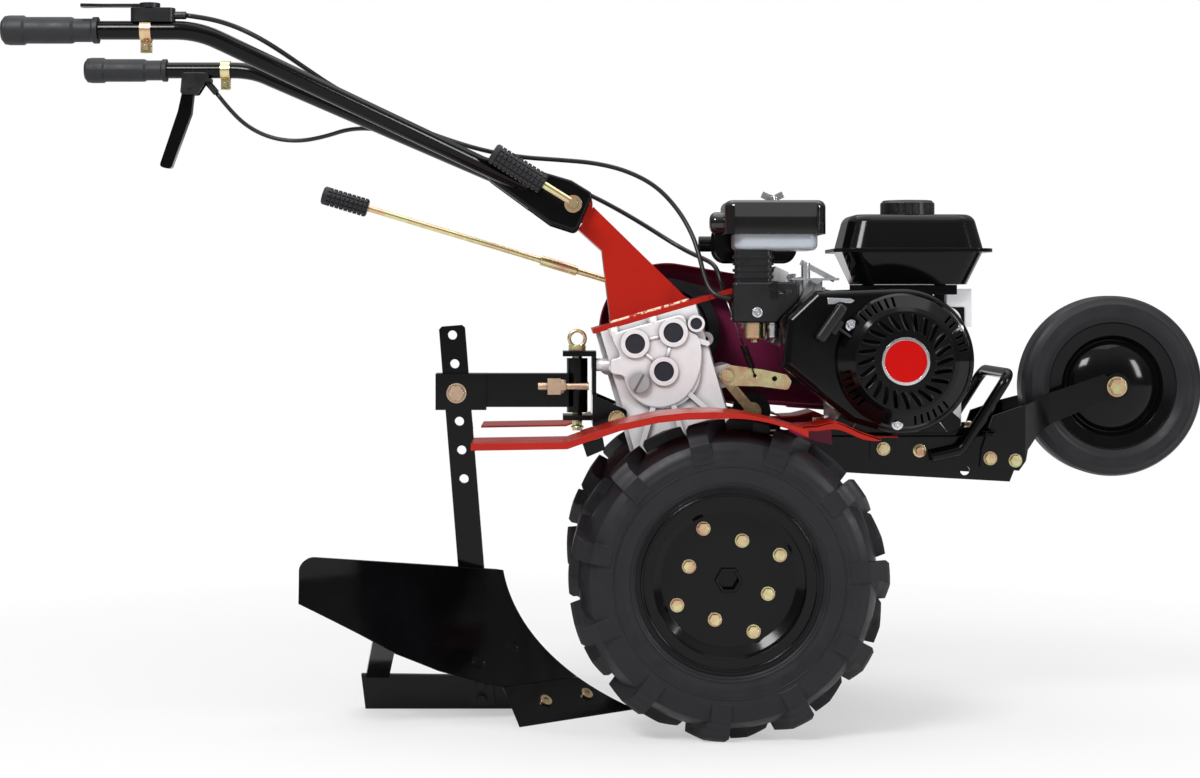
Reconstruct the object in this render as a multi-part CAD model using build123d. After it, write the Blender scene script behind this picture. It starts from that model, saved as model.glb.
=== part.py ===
from build123d import *
import os
from math import acos, atan2, cos, degrees, radians, sin, tan

# A walk-behind two-wheel tractor with a single-furrow plough on its drawbar.
# Millimetres and degrees. X runs forward from the drive axle, Y to the left, Z up from the ground.
# The side view, as drawn here, looks along +Y, so the machine's right side is the near one.

# Drive wheels
TYRE_R = 207.0
TYRE_W = 100.0
CROWN_R = 194.0
LUG_RING_R = 152.0
LUG_COUNT = 11
LUG_W = 26.0
LUG_SKEW = 30.0
LUG_PHASE = -12.5
TYRE_WALL = 8.0
TRACK = 400.0
RIM_R = 118.0
RIM_SEAT_R = 101.5
RIM_WELL_R = 90.0
RIM_SHEET = 3.0
RIM_HALF_W = 45.0
DISC_SET = 12.0
DISC_T = 4.0
HUB_FLANGE_R = 84.0
HUB_FLANGE_T = 7.0
HUB_HEX = 30.0
HUB_LENGTH = 92.0
AXLE_HEX = 24.0
WHEEL_BOLT_RINGS = ((54.0, 71.0), (74.0, 26.0))
WHEEL_BOLTS_PER_RING = 4

# Gearcase, drawn in its own frame: origin on the axle, leaning back by CASE_LEAN
CASE_LEAN = 16.2
CASE_HALF_W = 67.0
CASE_TOP = 351.0
CASE_DEPTH = 74.0
CASE_WALL = 6.0
CASE_FLANGE_T = 7.0
SHAFT_PITCH = 54.0
SHAFT_ROW = 323.0
SHAFT_R = 9.0
BEARING_R = 17.0
BEARING_T = 12.0
BOSS_R = 19.5
BOSS_RISE = 12.0
PLUG_R = 13.6
AXLE_BOSS_R = 36.0
AXLE_JOURNAL_R = 17.0
AXLE_BEARING_R = 28.0
GEAR_MODULE = 2.0
GEAR_FACE = 14.0
GEAR_BACKLASH = 0.5
PINION_TEETH = 18
SPROCKET_PITCH = 15.875
SPROCKET_TEETH = 10
AXLE_SPROCKET_TEETH = 20
SPROCKET_T = 6.0

# Handle post and handlebar
POST_HALF_W = 30.0
POST_WALL = 5.0
PLATE_T = 7.0
PIVOT_X = -199.5
PIVOT_Z = 700.0
PIVOT_R = 6.0
BAR_R = 12.0
BAR_WALL = 2.6
BAR_Z = 913.0
BAR_HALF_SPAN = 254.0
BAR_BEND_X = -680.0
BAR_FOOT_X = -250.0
BAR_FOOT_Z = 719.0
BAR_FOOT_Y = 28.0
GRIP_REAR_X = -929.5
GRIP_LENGTH = 123.0
GRIP_R = 19.0
SHELL_OUTER_Y = 47.0
SHELL_T = 3.0
THROTTLE_X = -741.0
CLUTCH_X = -772.5
CLUTCH_Z = 887.0
LEVER_Y = -0.323 * BAR_HALF_SPAN
SHIFT_Y = 46.0
SHIFT_END = (-62.0, SHIFT_Y, 569.9)
SHIFT_SLOPE = 16.7
KNOB_DEPTH = 2.2
KNOB_GAP = 2.0
KNOB_PITCH = 6.6
KNOB_COUNT = 12
SLEEVE_END = 6.0
SHIFT_R = 4.3
SHIFT_ROOM = 1.2

# Engine
CRANK_X = 237.5
CRANK_Z = 488.0
ENGINE_BASE_Z = 384.0
RECOIL_R = 90.0
RECOIL_RISE = 26.0
RECOIL_BASE_Y = -135.0
VENT_COUNT = 24
TANK_L = 215.0
TANK_D = 165.0
TANK_X = 261.0
TANK_Y = -25.0
TANK_Z = 636.0
CAP_R = 37.0
CYLINDER_TILT = 65.0
BORE_R = 34.0
FIN_COUNT = 7
FIN_PITCH = 11.0
FIN_T = 3.0
CRANK_R = 11.0
CRANK_THROW = 23.0
ENGINE_NEAR_Y = -68.0
ENGINE_FAR_Y = 76.0
ROPE_TILT = 55.0
GRIP_PLACE = (CRANK_X - 96.5, RECOIL_BASE_Y - 15.0, CRANK_Z + 50.0)
ROPE_R = 2.0
ROPE_LENGTH = 34.0
RECOIL_SCREWS = (146.0, 30.0, 264.0)
FILTER_X = 74.0
FILTER_Y = -38.0
FILTER_L = 137.0
FILTER_D = 104.0
FILTER_Z = 658.0
FILTER_H = 46.0
BOWL_H = 22.0
NECK_X = 45.0
NECK_Y = -66.0
PANEL_X = 61.0
PANEL_Z = 565.5
PANEL_NEAR_Y = -95.0
CHOKE_X = 80.0
MUFFLER_X = 56.0
MUFFLER_Y = 54.0
MUFFLER_Z = 648.0
EXHAUST_X = 70.0
EXHAUST_Z = 576.0
HEAD_HALF_Y = 52.0
TANK_LUG_X = 327.0
GOVERNOR_X = 128.0
GOVERNOR_Z = 597.0
CUP_X = 26.2
CUP_R = 8.0

# Belt drive on the left side
BELT_Y = 112.0
BELT_W = 13.0
GEAR_PULLEY_R = 75.0
ENGINE_PULLEY_R = 42.0
IDLER_R = 24.0
TENSION_X = 10.6
TENSION_Z = 466.0
IDLER_X = 58.0
IDLER_DROP = 16.0
TENSION_Y = -56.0
SPRING_EYE = (48.0, 465.5)

# Chassis
RAIL_Y = 76.0
RAIL_T = 4.0
RAIL_LEG = 34.0
RAIL_FRONT_X = 409.0
FRONT_WHEEL_X = 544.5
FRONT_WHEEL_Z = 450.0
FRONT_WHEEL_R = 124.5
FRONT_WHEEL_W = 60.0
FRONT_RIM_R = 0.707 * FRONT_WHEEL_R
FRONT_AXLE_R = 6.0
FENDER_IN_Y = 135.0
FENDER_OUT_Y = 262.0
FENDER_SHEET = 2.5
FENDER_LIP = 9.0
RAIL_REAR_X = 38.0
PAD_X = 82.0
PAD_Y = 30.0
PAD_Z = (118.0, 166.0)
RAIL_TOP_Z = ENGINE_BASE_Z
RAIL_PIN = (330.5, 338.0)
PIN_HOLE_R = 6.5
FENDER_BOLT = (219.6, 367.6)
ENGINE_BOLT_X = (148.0, 337.0)
ENGINE_BOLT_Y = 58.0
FORK_BOLTS = ((363.5, 355.0), (397.5, 352.0))
FENDER_LINE = (
    (-331.5, 386.0),
    (-208.5, 388.0),
    (-180.5, 398.0),
    (-141.5, 411.0),
    (-92.5, 421.5),
    (-56.5, 425.5),
    (-21.5, 426.5),
    (13.5, 424.0),
    (49.5, 417.0),
    (77.5, 409.0),
    (98.5, 403.0),
)
STRAP_LINE = (
    (98.5, 403.0),
    (119.5, 404.0),
    (144.5, 410.0),
    (155.5, 406.0),
    (176.5, 396.0),
    (204.5, 386.5),
)

# Hitch and plough
HITCH_X = -193.5
HITCH_PIN_R = 7.0
HITCH_SLEEVE_R = 14.5
HITCH_BACK_X = -167.5
HITCH_TOP_Z = 491.0
HITCH_LOW_Z = 410.0
HITCH_PLATE_T = 7.0
BEAM_H = 46.0
BEAM_W = 40.0
BEAM_Z = 444.0
SHANK_W = 36.0
SHANK_T = 12.0
SHANK_LEAN = 4.6
SHANK_TOP_Z = 533.0
HOLE_PITCH = 40.0
HOLE_COUNT = 6
HOLE_R = 6.35
SHARE_TIP_X = -114.5
SHARE_CORNER_X = -271.5
SHARE_CORNER_Y = -130.0
BOARD_R = 270.0
BOARD_ENTRY = 34.0
BOARD_T = 6.0
BOARD_SEAM_Z = 45.0
LANDSIDE_H = 48.0
LANDSIDE_T = 12.0
LANDSIDE_HEEL_X = -494.0
LANDSIDE_FRONT_X = -285.0
STAY_W = 32.0
STAY_T = 8.0
STAY_FOOT = (-472.0, 12.0, 44.0)
STAY_END = (-443.0, -152.0, 151.0)
BOARD_CORNER_R = 16.0
SUNK_R = 9.5
SUNK_DEPTH = 4.8
FROG_WEB_Z = 56.0
BACK_T = 6.0
EAR_Y = 74.4
EAR_T = 5.0
CASE_LUG = (-79.0, 232.0)
SOCKET_L = 70.0
SOCKET_H = 50.0
SOCKET_HALF_Y = 24.0
BEAM_WALL = 6.0
PINNED_HOLE = 2
FOOT_BOLTS = (9.5, 28.5)
FOOT_BOLT_R = 4.0
SHARE_T = 8.0
FROG_T = 7.0
SHARE_BOLTS = ((61.0, 24.0), (135.0, 23.0))
BOARD_BOLTS = ((150.0, 92.0), (214.0, 78.0))

# Control cables
CABLE_R = 3.2
WIRE_R = 1.2
CABLE_TAB_X = 110.0
CABLE_TAB_Y = -50.0
SPRING_WIRE_R = 0.8
SPRING_R = 4.7
SPRING_TURNS = 9
HOOK_RATIO = 3.2
SPRING_LENGTH = 54.0

# Clearances
GAP = 0.4
FIT = 0.05

# The whole machine is centred lengthwise between the grip ends and the front tyre.
AXLE_X = -(GRIP_REAR_X + FRONT_WHEEL_X + FRONT_WHEEL_R) / 2
CASE = Pos(0, 0, TYRE_R) * Rot(0, -CASE_LEAN, 0)
SHAFT_D = (60.0, 326.0)
OIL_PLUG = (-36.0, 271.0)
SHAFT_A = (-SHAFT_PITCH / 2, SHAFT_ROW)
SHAFT_B = (SHAFT_PITCH / 2, SHAFT_ROW)
SHAFT_C = (0.0, SHAFT_ROW - SHAFT_PITCH * cos(radians(30)))
CYLINDER = Pos(CRANK_X, 0, CRANK_Z) * Rot(0, -CYLINDER_TILT, 0)
SHANK = Pos(-367.5, 0, SHANK_TOP_Z) * Rot(0, -SHANK_LEAN, 0)


def slab(sketch, y0, y1):
    """A plate drawn in the side view, from y0 to y1 across the machine."""
    return Pos(0, y1, 0) * extrude(Plane.XZ * sketch, amount=y1 - y0)


def outline(*points):
    """A closed straight-sided outline."""
    return make_face(Polyline(*points, close=True))


def rounded(radius, *points):
    """A closed outline with its corners rounded."""
    sketch = outline(*points)
    return fillet(sketch.vertices(), radius)


def bar_y(x, z, radius, y0, y1):
    """A round bar across the machine."""
    return Pos(x, (y0 + y1) / 2, z) * Rot(90, 0, 0) * Cylinder(radius, y1 - y0)


def rod(start, end, radius):
    """A round bar from one point to another."""
    origin = Vector(*start)
    axis = Vector(*end) - origin
    bottom = (Align.CENTER, Align.CENTER, Align.MIN)
    return Plane(origin=origin, z_dir=axis) * Cylinder(radius, axis.length, align=bottom)


def facing(x, y, z):
    """A drawing plane square to the machine's right side, seen from outside."""
    return Pos(x, y, z) * Rot(90, 0, 0)


def mirrored(shape):
    """The same piece on the other side of the machine."""
    return mirror(shape, about=Plane.XZ)


def hex_prism(flats, height):
    """A hexagonal prism standing on the drawing plane."""
    return extrude(RegularPolygon(flats / 2, 6, major_radius=False), amount=height)


def bolt(size, grip):
    """A flanged hex bolt with its nut: the head stands up from the plane, the shank goes down."""
    head = Pos(0, 0, 0.2 * size) * hex_prism(1.6 * size, 0.6 * size)
    collar = Pos(0, 0, 0.1 * size) * Cylinder(1.15 * size, 0.2 * size)
    shank = Pos(0, 0, -grip / 2 - 0.5 * size) * Cylinder(size / 2, grip + size)
    nut = Pos(0, 0, -grip - 0.8 * size) * hex_prism(1.6 * size, 0.8 * size)
    return head + collar + shank + nut


def bolt_y(x, z, y_head, y_nut, size):
    """A bolt across the machine with its head on the right side."""
    return facing(x, y_head, z) * bolt(size, y_nut - y_head)


def case_point(place, y=0.0):
    """A point of the gearcase frame, in the machine's frame."""
    return (CASE * Pos(place[0], y, place[1])).position


def turned(profile):
    """A profile of radius against width, spun about the wheel axis."""
    return revolve(profile, Axis.Y)


def tyre_section(grow):
    """The tyre's outline from bead to bead, moved outwards by grow."""
    bead = RIM_SEAT_R + GAP
    bead_y = -RIM_HALF_W + RIM_SHEET + GAP - grow
    foot = Line((bead, bead_y), (RIM_R + GAP + 1.0, bead_y))
    wall = ThreePointArc(
        foot @ 1,
        ((RIM_R + CROWN_R) / 2, -TYRE_W / 2 + 1.0 - grow),
        (CROWN_R - 14.0 + grow, -TYRE_W / 2 + 9.0 - grow),
    )
    side = foot + wall
    crown = ThreePointArc(side @ 1, (CROWN_R + grow, 0), ((side @ 1).X, -(side @ 1).Y))
    return side, crown


def tyre():
    """A pneumatic tyre with two staggered rows of slanting lugs, open towards the rim."""
    side, crown = tyre_section(0.0)
    inner_side, inner_crown = tyre_section(-TYRE_WALL)
    half = TYRE_W / 2
    section = make_face(
        side
        + crown
        + mirror(side, about=Plane.XZ)
        + Line(((side @ 0).X, -(side @ 0).Y), ((inner_side @ 0).X, -(inner_side @ 0).Y))
        + mirror(inner_side, about=Plane.XZ)
        + inner_crown
        + inner_side
        + Line(inner_side @ 0, side @ 0)
    )
    band = turned(
        outline(
            (LUG_RING_R, -half + 6.0),
            (LUG_RING_R + 3.0, -half),
            (CROWN_R - 14.0, -half),
            (TYRE_R - 4.0, -half + 15.0),
            (TYRE_R, -half + 20.0),
            (TYRE_R, 4.0),
            (CROWN_R - TYRE_WALL / 2, 4.0),
            (CROWN_R - 6.5, -18.0),
            (CROWN_R - 15.0, -half + 16.0),
        )
    )
    foot = outline(
        (-LUG_W / 2, -half - 5.0),
        (LUG_W / 2, -half - 5.0),
        (LUG_W / 2, -half + 10.0),
        (LUG_SKEW + LUG_W / 2, 6.0),
        (LUG_SKEW - LUG_W / 2 + 4.0, 6.0),
        (-LUG_W / 2, -half + 14.0),
    )
    lug = extrude(Pos(0, 0, LUG_RING_R - 10.0) * foot, amount=TYRE_R) & band
    pitch = 360.0 / LUG_COUNT
    lugs = [Rot(0, LUG_PHASE + pitch * i, 0) * lug for i in range(LUG_COUNT)]
    other = mirrored(lug)
    lugs += [Rot(0, LUG_PHASE + pitch * (i + 0.5), 0) * other for i in range(LUG_COUNT)]
    return turned(section) + lugs


def wheel_bolt_places():
    """The wheel bolts' places in the side view, about the axle."""
    places = []
    for radius, start in WHEEL_BOLT_RINGS:
        for i in range(WHEEL_BOLTS_PER_RING):
            angle = radians(start + 360.0 / WHEEL_BOLTS_PER_RING * i)
            places.append((radius * cos(angle), radius * sin(angle)))
    return places


def rim():
    """A pressed rim with a drop centre and a flat disc set in from the outer flange."""
    seat = RIM_SEAT_R
    well = RIM_WELL_R
    sheet = RIM_SHEET
    edge = RIM_HALF_W
    half = [(RIM_R, edge), (RIM_R, edge - sheet), (seat, edge - sheet), (seat, 22.0), (well, 14.0)]
    inner = [(well - sheet, 15.5), (seat - sheet, 23.5), (seat - sheet, edge)]
    lower = [(r, -y) for r, y in reversed(half)]
    below = [(r, -y) for r, y in reversed(inner)]
    barrel = turned(outline(*half, *lower, *below, *inner))
    disc = bar_y(0, 0, well - sheet / 2, -DISC_SET - DISC_T, -DISC_SET)
    centre = slab(RegularPolygon(HUB_HEX / 2 + GAP, 6, major_radius=False), -RIM_R, RIM_R)
    holes = [bar_y(x, z, 4.0 + FIT, -RIM_R, RIM_R) for x, z in wheel_bolt_places()]
    return barrel + disc - centre - holes


def hub():
    """A hexagonal sleeve with a round flange that backs the rim disc."""
    mouth = -DISC_SET - DISC_T - 4.0
    flange = bar_y(0, 0, HUB_FLANGE_R, -DISC_SET, -DISC_SET + HUB_FLANGE_T)
    sleeve = slab(RegularPolygon(HUB_HEX / 2, 6, major_radius=False), mouth, mouth + HUB_LENGTH)
    bore = slab(RegularPolygon(AXLE_HEX / 2 + FIT, 6, major_radius=False), mouth, mouth + HUB_LENGTH)
    holes = [bar_y(x, z, 4.0 + FIT, -RIM_R, RIM_R) for x, z in wheel_bolt_places()]
    return flange + sleeve - bore - holes


def wheel_bolts():
    """The eight flanged bolts that hold the rim disc to the hub."""
    face = -DISC_SET - DISC_T
    back = -DISC_SET + HUB_FLANGE_T
    return [bolt_y(x, z, face, back, 8.0) for x, z in wheel_bolt_places()]


def drive_wheels(nodes):
    """Both drive wheels and the hexagonal axle that carries them."""
    right = Pos(0, -TRACK / 2, TYRE_R)
    near_tyre = right * tyre()
    nodes["drive_tyres"] = [near_tyre, mirrored(near_tyre)]
    nodes["wheel_rims"] = [right * rim(), mirrored(right * rim())]
    nodes["wheel_hubs"] = [right * hub(), mirrored(right * hub())]
    near_bolts = [right * each for each in wheel_bolts()]
    nodes["wheel_bolts"] = near_bolts + [mirrored(each) for each in near_bolts]
    reach = TRACK / 2 + 4.0
    bar = slab(RegularPolygon(AXLE_HEX / 2, 6, major_radius=False), -reach, reach)
    journal = bar_y(0, 0, AXLE_JOURNAL_R, -CASE_DEPTH - 20.0, CASE_DEPTH + 20.0)
    nodes["axle_shaft"] = [Pos(0, 0, TYRE_R) * (bar + journal)]


def gear(teeth, phase):
    """A spur gear blank with flanks drawn through the involute's root and tip."""
    pitch_r = GEAR_MODULE * teeth / 2
    base_r = pitch_r * cos(radians(20))
    root_r = pitch_r - 1.25 * GEAR_MODULE
    tip_r = pitch_r + GEAR_MODULE
    half_pitch = 90.0 / teeth - degrees(GEAR_BACKLASH / 2 / pitch_r)
    roll = tan(radians(20)) - radians(20)

    def flank(radius):
        """The half angle of the tooth at a radius."""
        ratio = min(1.0, base_r / radius)
        angle = acos(ratio)
        return half_pitch + degrees(roll - (tan(angle) - angle))

    points = []
    for i in range(teeth):
        middle = phase + 360.0 * i / teeth
        for radius, side in ((root_r, -1), (tip_r, -1), (tip_r, 1), (root_r, 1)):
            angle = radians(middle + side * flank(radius))
            points.append((radius * cos(angle), radius * sin(angle)))
    return outline(*points)


def bearing_to(start, end):
    """The direction from one shaft to another in the gearcase drawing, in degrees."""
    return degrees(atan2(end[1] - start[1], end[0] - start[0]))


def case_shape(inset):
    """The gearcase outline: a tall box with a round foot about the axle."""
    half = CASE_HALF_W - inset
    top = CASE_TOP - inset
    return Circle(half) + Pos(0, top / 2) * Rectangle(2 * half, top)


def case_bolt_places():
    """The bolts that close the gearcase, in its own frame."""
    edge = CASE_HALF_W + 4.0
    sides = [(side * edge, z) for side in (-1, 1) for z in (35.0, 130.0, 300.0)]
    return sides + [(0.0, -edge)]


def sprocket_r(teeth):
    """The pitch radius of a chain sprocket."""
    return SPROCKET_PITCH / 2 / sin(radians(180.0 / teeth))


def gearcase_half():
    """The right half of the cast gearcase, with bearing bosses, ribs and a bolted flange."""
    body = slab(case_shape(0.0), -CASE_DEPTH, 0)
    lobe = slab(Pos(*SHAFT_C) * Circle(50.0), -CASE_DEPTH - 5.0, -CASE_DEPTH)
    face = -CASE_DEPTH - BOSS_RISE
    bosses = [bar_y(x, z, BOSS_R, face, 0) for x, z in (SHAFT_A, SHAFT_B, SHAFT_C)]
    bosses.append(bar_y(*SHAFT_D, 11.6, face + 2.0, 0))
    bosses.append(bar_y(0, 0, AXLE_BOSS_R, face, 0))
    ribs = []
    for start, end in (
        (SHAFT_A, (-CASE_HALF_W, 300.0)),
        (SHAFT_B, (CASE_HALF_W, 296.0)),
        (SHAFT_C, (-CASE_HALF_W + 12.0, 190.0)),
        (SHAFT_C, (CASE_HALF_W - 12.0, 190.0)),
        (SHAFT_C, (0.0, 60.0)),
        ((-CASE_HALF_W + 12.0, 190.0), (0.0, 40.0)),
        ((CASE_HALF_W - 12.0, 190.0), (0.0, 40.0)),
    ):
        spine = SlotCenterPoint(
            ((start[0] + end[0]) / 2, (start[1] + end[1]) / 2), end, 7.0
        )
        ribs.append(slab(spine, -CASE_DEPTH - 6.0, -CASE_DEPTH + 1.0))
    ears = [bar_y(x, z, 10.0, -CASE_FLANGE_T - 8.0, 0) for x, z in case_bolt_places()]
    pads = [rod((CASE_HALF_W - 2.0, -PAD_Y, z), (PAD_X, -PAD_Y, z), 13.0) for z in PAD_Z]
    pivot = (CASE.inverse() * Pos(TENSION_X, 0, TENSION_Z)).position
    arm_lug = SlotCenterPoint((CASE_HALF_W - 6.0, pivot.Z), (pivot.X, pivot.Z), 30.0)
    pads.append(slab(arm_lug, -CASE_DEPTH + 24.0, -CASE_DEPTH + 46.0))
    lug = slab(SlotCenterPoint((-70.0, 232.0), (-79.0, 232.0), 26.0), -CASE_DEPTH, -CASE_DEPTH + 22.0)
    flange = slab(offset(case_shape(0.0), 6.0), -CASE_FLANGE_T, 0)
    flange = flange & slab(Pos(0, 100.0) * Rectangle(300.0, 2 * (CASE_TOP - 100.0)), -CASE_DEPTH, 0)
    cavity = slab(case_shape(CASE_WALL), -CASE_DEPTH + CASE_WALL, 0)
    shafts = (SHAFT_A, SHAFT_B, SHAFT_C)
    seats = [bar_y(x, z, BOSS_R, -CASE_DEPTH, -CASE_DEPTH + BEARING_T) for x, z in shafts]
    seats.append(bar_y(0, 0, AXLE_BOSS_R, -CASE_DEPTH, -CASE_DEPTH + BEARING_T))
    solid = body + lobe + bosses + ribs + ears + pads + lug + flange - cavity + seats
    cuts = []
    for x, z in (SHAFT_A, SHAFT_B, SHAFT_C):
        cuts.append(bar_y(x, z, PLUG_R, face, 0))
        cuts.append(bar_y(x, z, BEARING_R, -CASE_DEPTH - 2.0, 0))
    cuts.append(bar_y(*SHAFT_D, 8.0, face, -CASE_DEPTH))
    cuts.append(bar_y(0, 0, AXLE_JOURNAL_R + 1.0, face, 0))
    cuts.append(bar_y(0, 0, AXLE_BEARING_R, -CASE_DEPTH - 2.0, 0))
    cuts += [bar_y(x, z, 3.0 + FIT, -CASE_DEPTH, 0) for x, z in case_bolt_places()]
    cuts.append(bar_y(-79.0, 232.0, 5.0 + FIT, -2 * CASE_DEPTH, 0))
    cuts.append(bar_y(pivot.X, pivot.Z, 8.0 + FIT, -2 * CASE_DEPTH, 0))
    cuts += [rod((CASE_HALF_W + 1.0, -PAD_Y, z), (PAD_X + 1.0, -PAD_Y, z), 5.0 + FIT) for z in PAD_Z]
    return solid - cuts


def gearbox(nodes):
    """The gearcase halves with their shafts, gears, bearings, plugs and final chain."""
    right = gearcase_half() - bar_y(*OIL_PLUG, 9.0, -2 * CASE_DEPTH, 0)
    nodes["gearcase_halves"] = [CASE * right, CASE * mirrored(gearcase_half())]
    face = -CASE_DEPTH - BOSS_RISE
    shafts = (SHAFT_A, SHAFT_B, SHAFT_C)
    near_plugs = [bar_y(x, z, PLUG_R - FIT, face + 2.0, -CASE_DEPTH - 3.0) for x, z in shafts]
    far_plugs = [mirrored(near_plugs[0]), mirrored(near_plugs[2])]
    near_plugs.append(bar_y(*SHAFT_D, 8.0 - FIT, face + 4.0, -CASE_DEPTH))
    nodes["case_plugs"] = [CASE * each for each in near_plugs + far_plugs]
    head = bar_y(*OIL_PLUG, 13.5, -CASE_DEPTH - 16.0, -CASE_DEPTH - 5.0)
    slot = Pos(OIL_PLUG[0], -CASE_DEPTH - 16.0, OIL_PLUG[1]) * Rot(0, -45, 0) * Box(40.0, 6.0, 4.0)
    stem = bar_y(*OIL_PLUG, 9.0 - FIT, -CASE_DEPTH - 5.0, -CASE_DEPTH + 8.0)
    nodes["case_plugs"].append(CASE * (head + stem - slot))

    end = CASE_DEPTH + 1.5
    first = (-46.0, -46.0 + GEAR_FACE)
    sprocket_y = (24.0, 24.0 + SPROCKET_T)
    wheel_teeth = round(2 * SHAFT_PITCH / GEAR_MODULE) - PINION_TEETH

    pinion = Pos(*SHAFT_B) * gear(PINION_TEETH, bearing_to(SHAFT_B, SHAFT_C))
    input_end = BELT_Y + BELT_W + 1.0
    shaft_b = bar_y(*SHAFT_B, SHAFT_R, -end, input_end)
    nodes["input_gear_shaft"] = [CASE * (shaft_b + slab(pinion, *first))]

    idle = Pos(*SHAFT_A) * gear(PINION_TEETH, bearing_to(SHAFT_A, SHAFT_C))
    shaft_a = bar_y(*SHAFT_A, SHAFT_R, -end, end)
    nodes["counter_gear_shaft"] = CASE * (shaft_a + slab(idle, *first))

    wheel_phase = bearing_to(SHAFT_C, SHAFT_B) + 180.0 / wheel_teeth
    wheel = Pos(*SHAFT_C) * gear(wheel_teeth, wheel_phase)
    shaft_c = bar_y(*SHAFT_C, SHAFT_R, -end, end)
    small = Pos(*SHAFT_C) * sprocket(SPROCKET_TEETH)
    output = shaft_c + slab(wheel, *first) + slab(small, *sprocket_y)
    nodes["output_sprocket_shaft"] = CASE * output

    large = sprocket(AXLE_SPROCKET_TEETH) - Circle(AXLE_JOURNAL_R + FIT)
    nodes["axle_shaft"].append(CASE * slab(large, *sprocket_y))
    nodes["drive_chain"] = CASE * drive_chain(sprocket_y)

    rings = []
    for x, z in (SHAFT_A, SHAFT_B, SHAFT_C):
        ring = bar_y(x, z, BEARING_R - FIT, -CASE_DEPTH - 2.0, -CASE_DEPTH + BEARING_T)
        ring = ring - bar_y(x, z, SHAFT_R + FIT, -2 * CASE_DEPTH, 0)
        rings += [ring, mirrored(ring)]
    ring = bar_y(0, 0, AXLE_BEARING_R - FIT, -CASE_DEPTH - 2.0, -CASE_DEPTH + BEARING_T)
    ring = ring - bar_y(0, 0, AXLE_JOURNAL_R + FIT, -2 * CASE_DEPTH, 0)
    rings += [ring, mirrored(ring)]
    nodes["shaft_bearings"] = [CASE * each for each in rings]


def sprocket(teeth):
    """A roller-chain sprocket with plain pointed teeth."""
    pitch_r = sprocket_r(teeth)
    points = []
    for i in range(teeth):
        middle = 360.0 * i / teeth
        for rise, share in ((-5.0, -0.3), (3.5, -0.12), (3.5, 0.12), (-5.0, 0.3)):
            radius = pitch_r + rise
            angle = radians(middle + 360.0 / teeth * share)
            points.append((radius * cos(angle), radius * sin(angle)))
    return outline(*points)


def loop_sketch(start, start_r, end, end_r):
    """The outline of a band stretched round two pulleys."""
    return make_hull(((Pos(*start) * Circle(start_r)) + (Pos(*end) * Circle(end_r))).edges())


def drive_chain(across):
    """The final chain: link plates each side of the sprockets, pinned along the free runs."""
    small = sprocket_r(SPROCKET_TEETH)
    large = sprocket_r(AXLE_SPROCKET_TEETH)
    loop = loop_sketch(SHAFT_C, small + 6.0, (0, 0), large + 6.0)
    loop = loop - loop_sketch(SHAFT_C, small - 6.0, (0, 0), large - 6.0)
    plates = [slab(loop, across[0] - 3.5, across[0] - 1.0), slab(loop, across[1] + 1.0, across[1] + 3.5)]
    lean = (large - small) / SHAFT_C[1]
    pins = []
    for side in (-1, 1):
        for i in range(10):
            along = 62.0 + 2 * SPROCKET_PITCH * i * 0.6
            x = side * (large - lean * along) * cos(lean)
            pins.append(bar_y(x, along, 3.0, across[0] - 3.0, across[1] + 3.0))
    return plates[0] + plates[1] + pins


def handle_post():
    """The red post: a base plate, an inclined folded box and the eye for the handlebar pivot."""
    top = CASE_TOP + PLATE_T
    plate = CASE * slab(Pos(5.5, CASE_TOP + PLATE_T / 2) * Rectangle(165.0, PLATE_T), -62.0, 62.0)
    plate = plate + CASE * (Pos(107.0, CABLE_TAB_Y + 2.0, CASE_TOP + PLATE_T / 2) * Box(42.0, 22.0, PLATE_T))
    plate = plate - CASE * (Pos(CABLE_TAB_X, CABLE_TAB_Y, CASE_TOP) * Cylinder(CABLE_R + FIT, 40.0))
    plate = plate - rod(shift_point(-60.0), shift_point(60.0), SHIFT_R + SHIFT_ROOM)
    rear_foot = case_point((-50.0, top - 1.0))
    front_foot = case_point((63.0, top - 1.0))
    side = outline(
        (PIVOT_X + 7.0, PIVOT_Z - 34.0),
        (PIVOT_X + 28.0, PIVOT_Z - 3.0),
        (front_foot.X, front_foot.Z),
        (rear_foot.X, rear_foot.Z),
        (PIVOT_X + 40.0, PIVOT_Z - 64.0),
    )
    box = slab(side, -POST_HALF_W, POST_HALF_W)
    inner = offset(side, -POST_WALL)
    hollow = slab(inner, -POST_HALF_W + POST_WALL, POST_HALF_W - POST_WALL)
    eye = bar_y(PIVOT_X, PIVOT_Z, 27.0, -POST_HALF_W, POST_HALF_W)
    bore = bar_y(PIVOT_X, PIVOT_Z, PIVOT_R + FIT, -POST_HALF_W, POST_HALF_W)
    return plate + (box - hollow) + eye - bore


def bar_path():
    """The centre line of the right handlebar tube, from the grip to the clamp."""
    return FilletPolyline(
        (GRIP_REAR_X + 8.0, -BAR_HALF_SPAN, BAR_Z),
        (BAR_BEND_X, -BAR_HALF_SPAN, BAR_Z),
        (BAR_FOOT_X, -BAR_FOOT_Y, BAR_FOOT_Z),
        radius=90.0,
    )


def handle_tube():
    """The right handlebar tube."""
    path = bar_path()
    section = Plane(origin=path @ 0, z_dir=path % 0) * (Circle(BAR_R) - Circle(BAR_R - BAR_WALL))
    return sweep(section, path=path)


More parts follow.
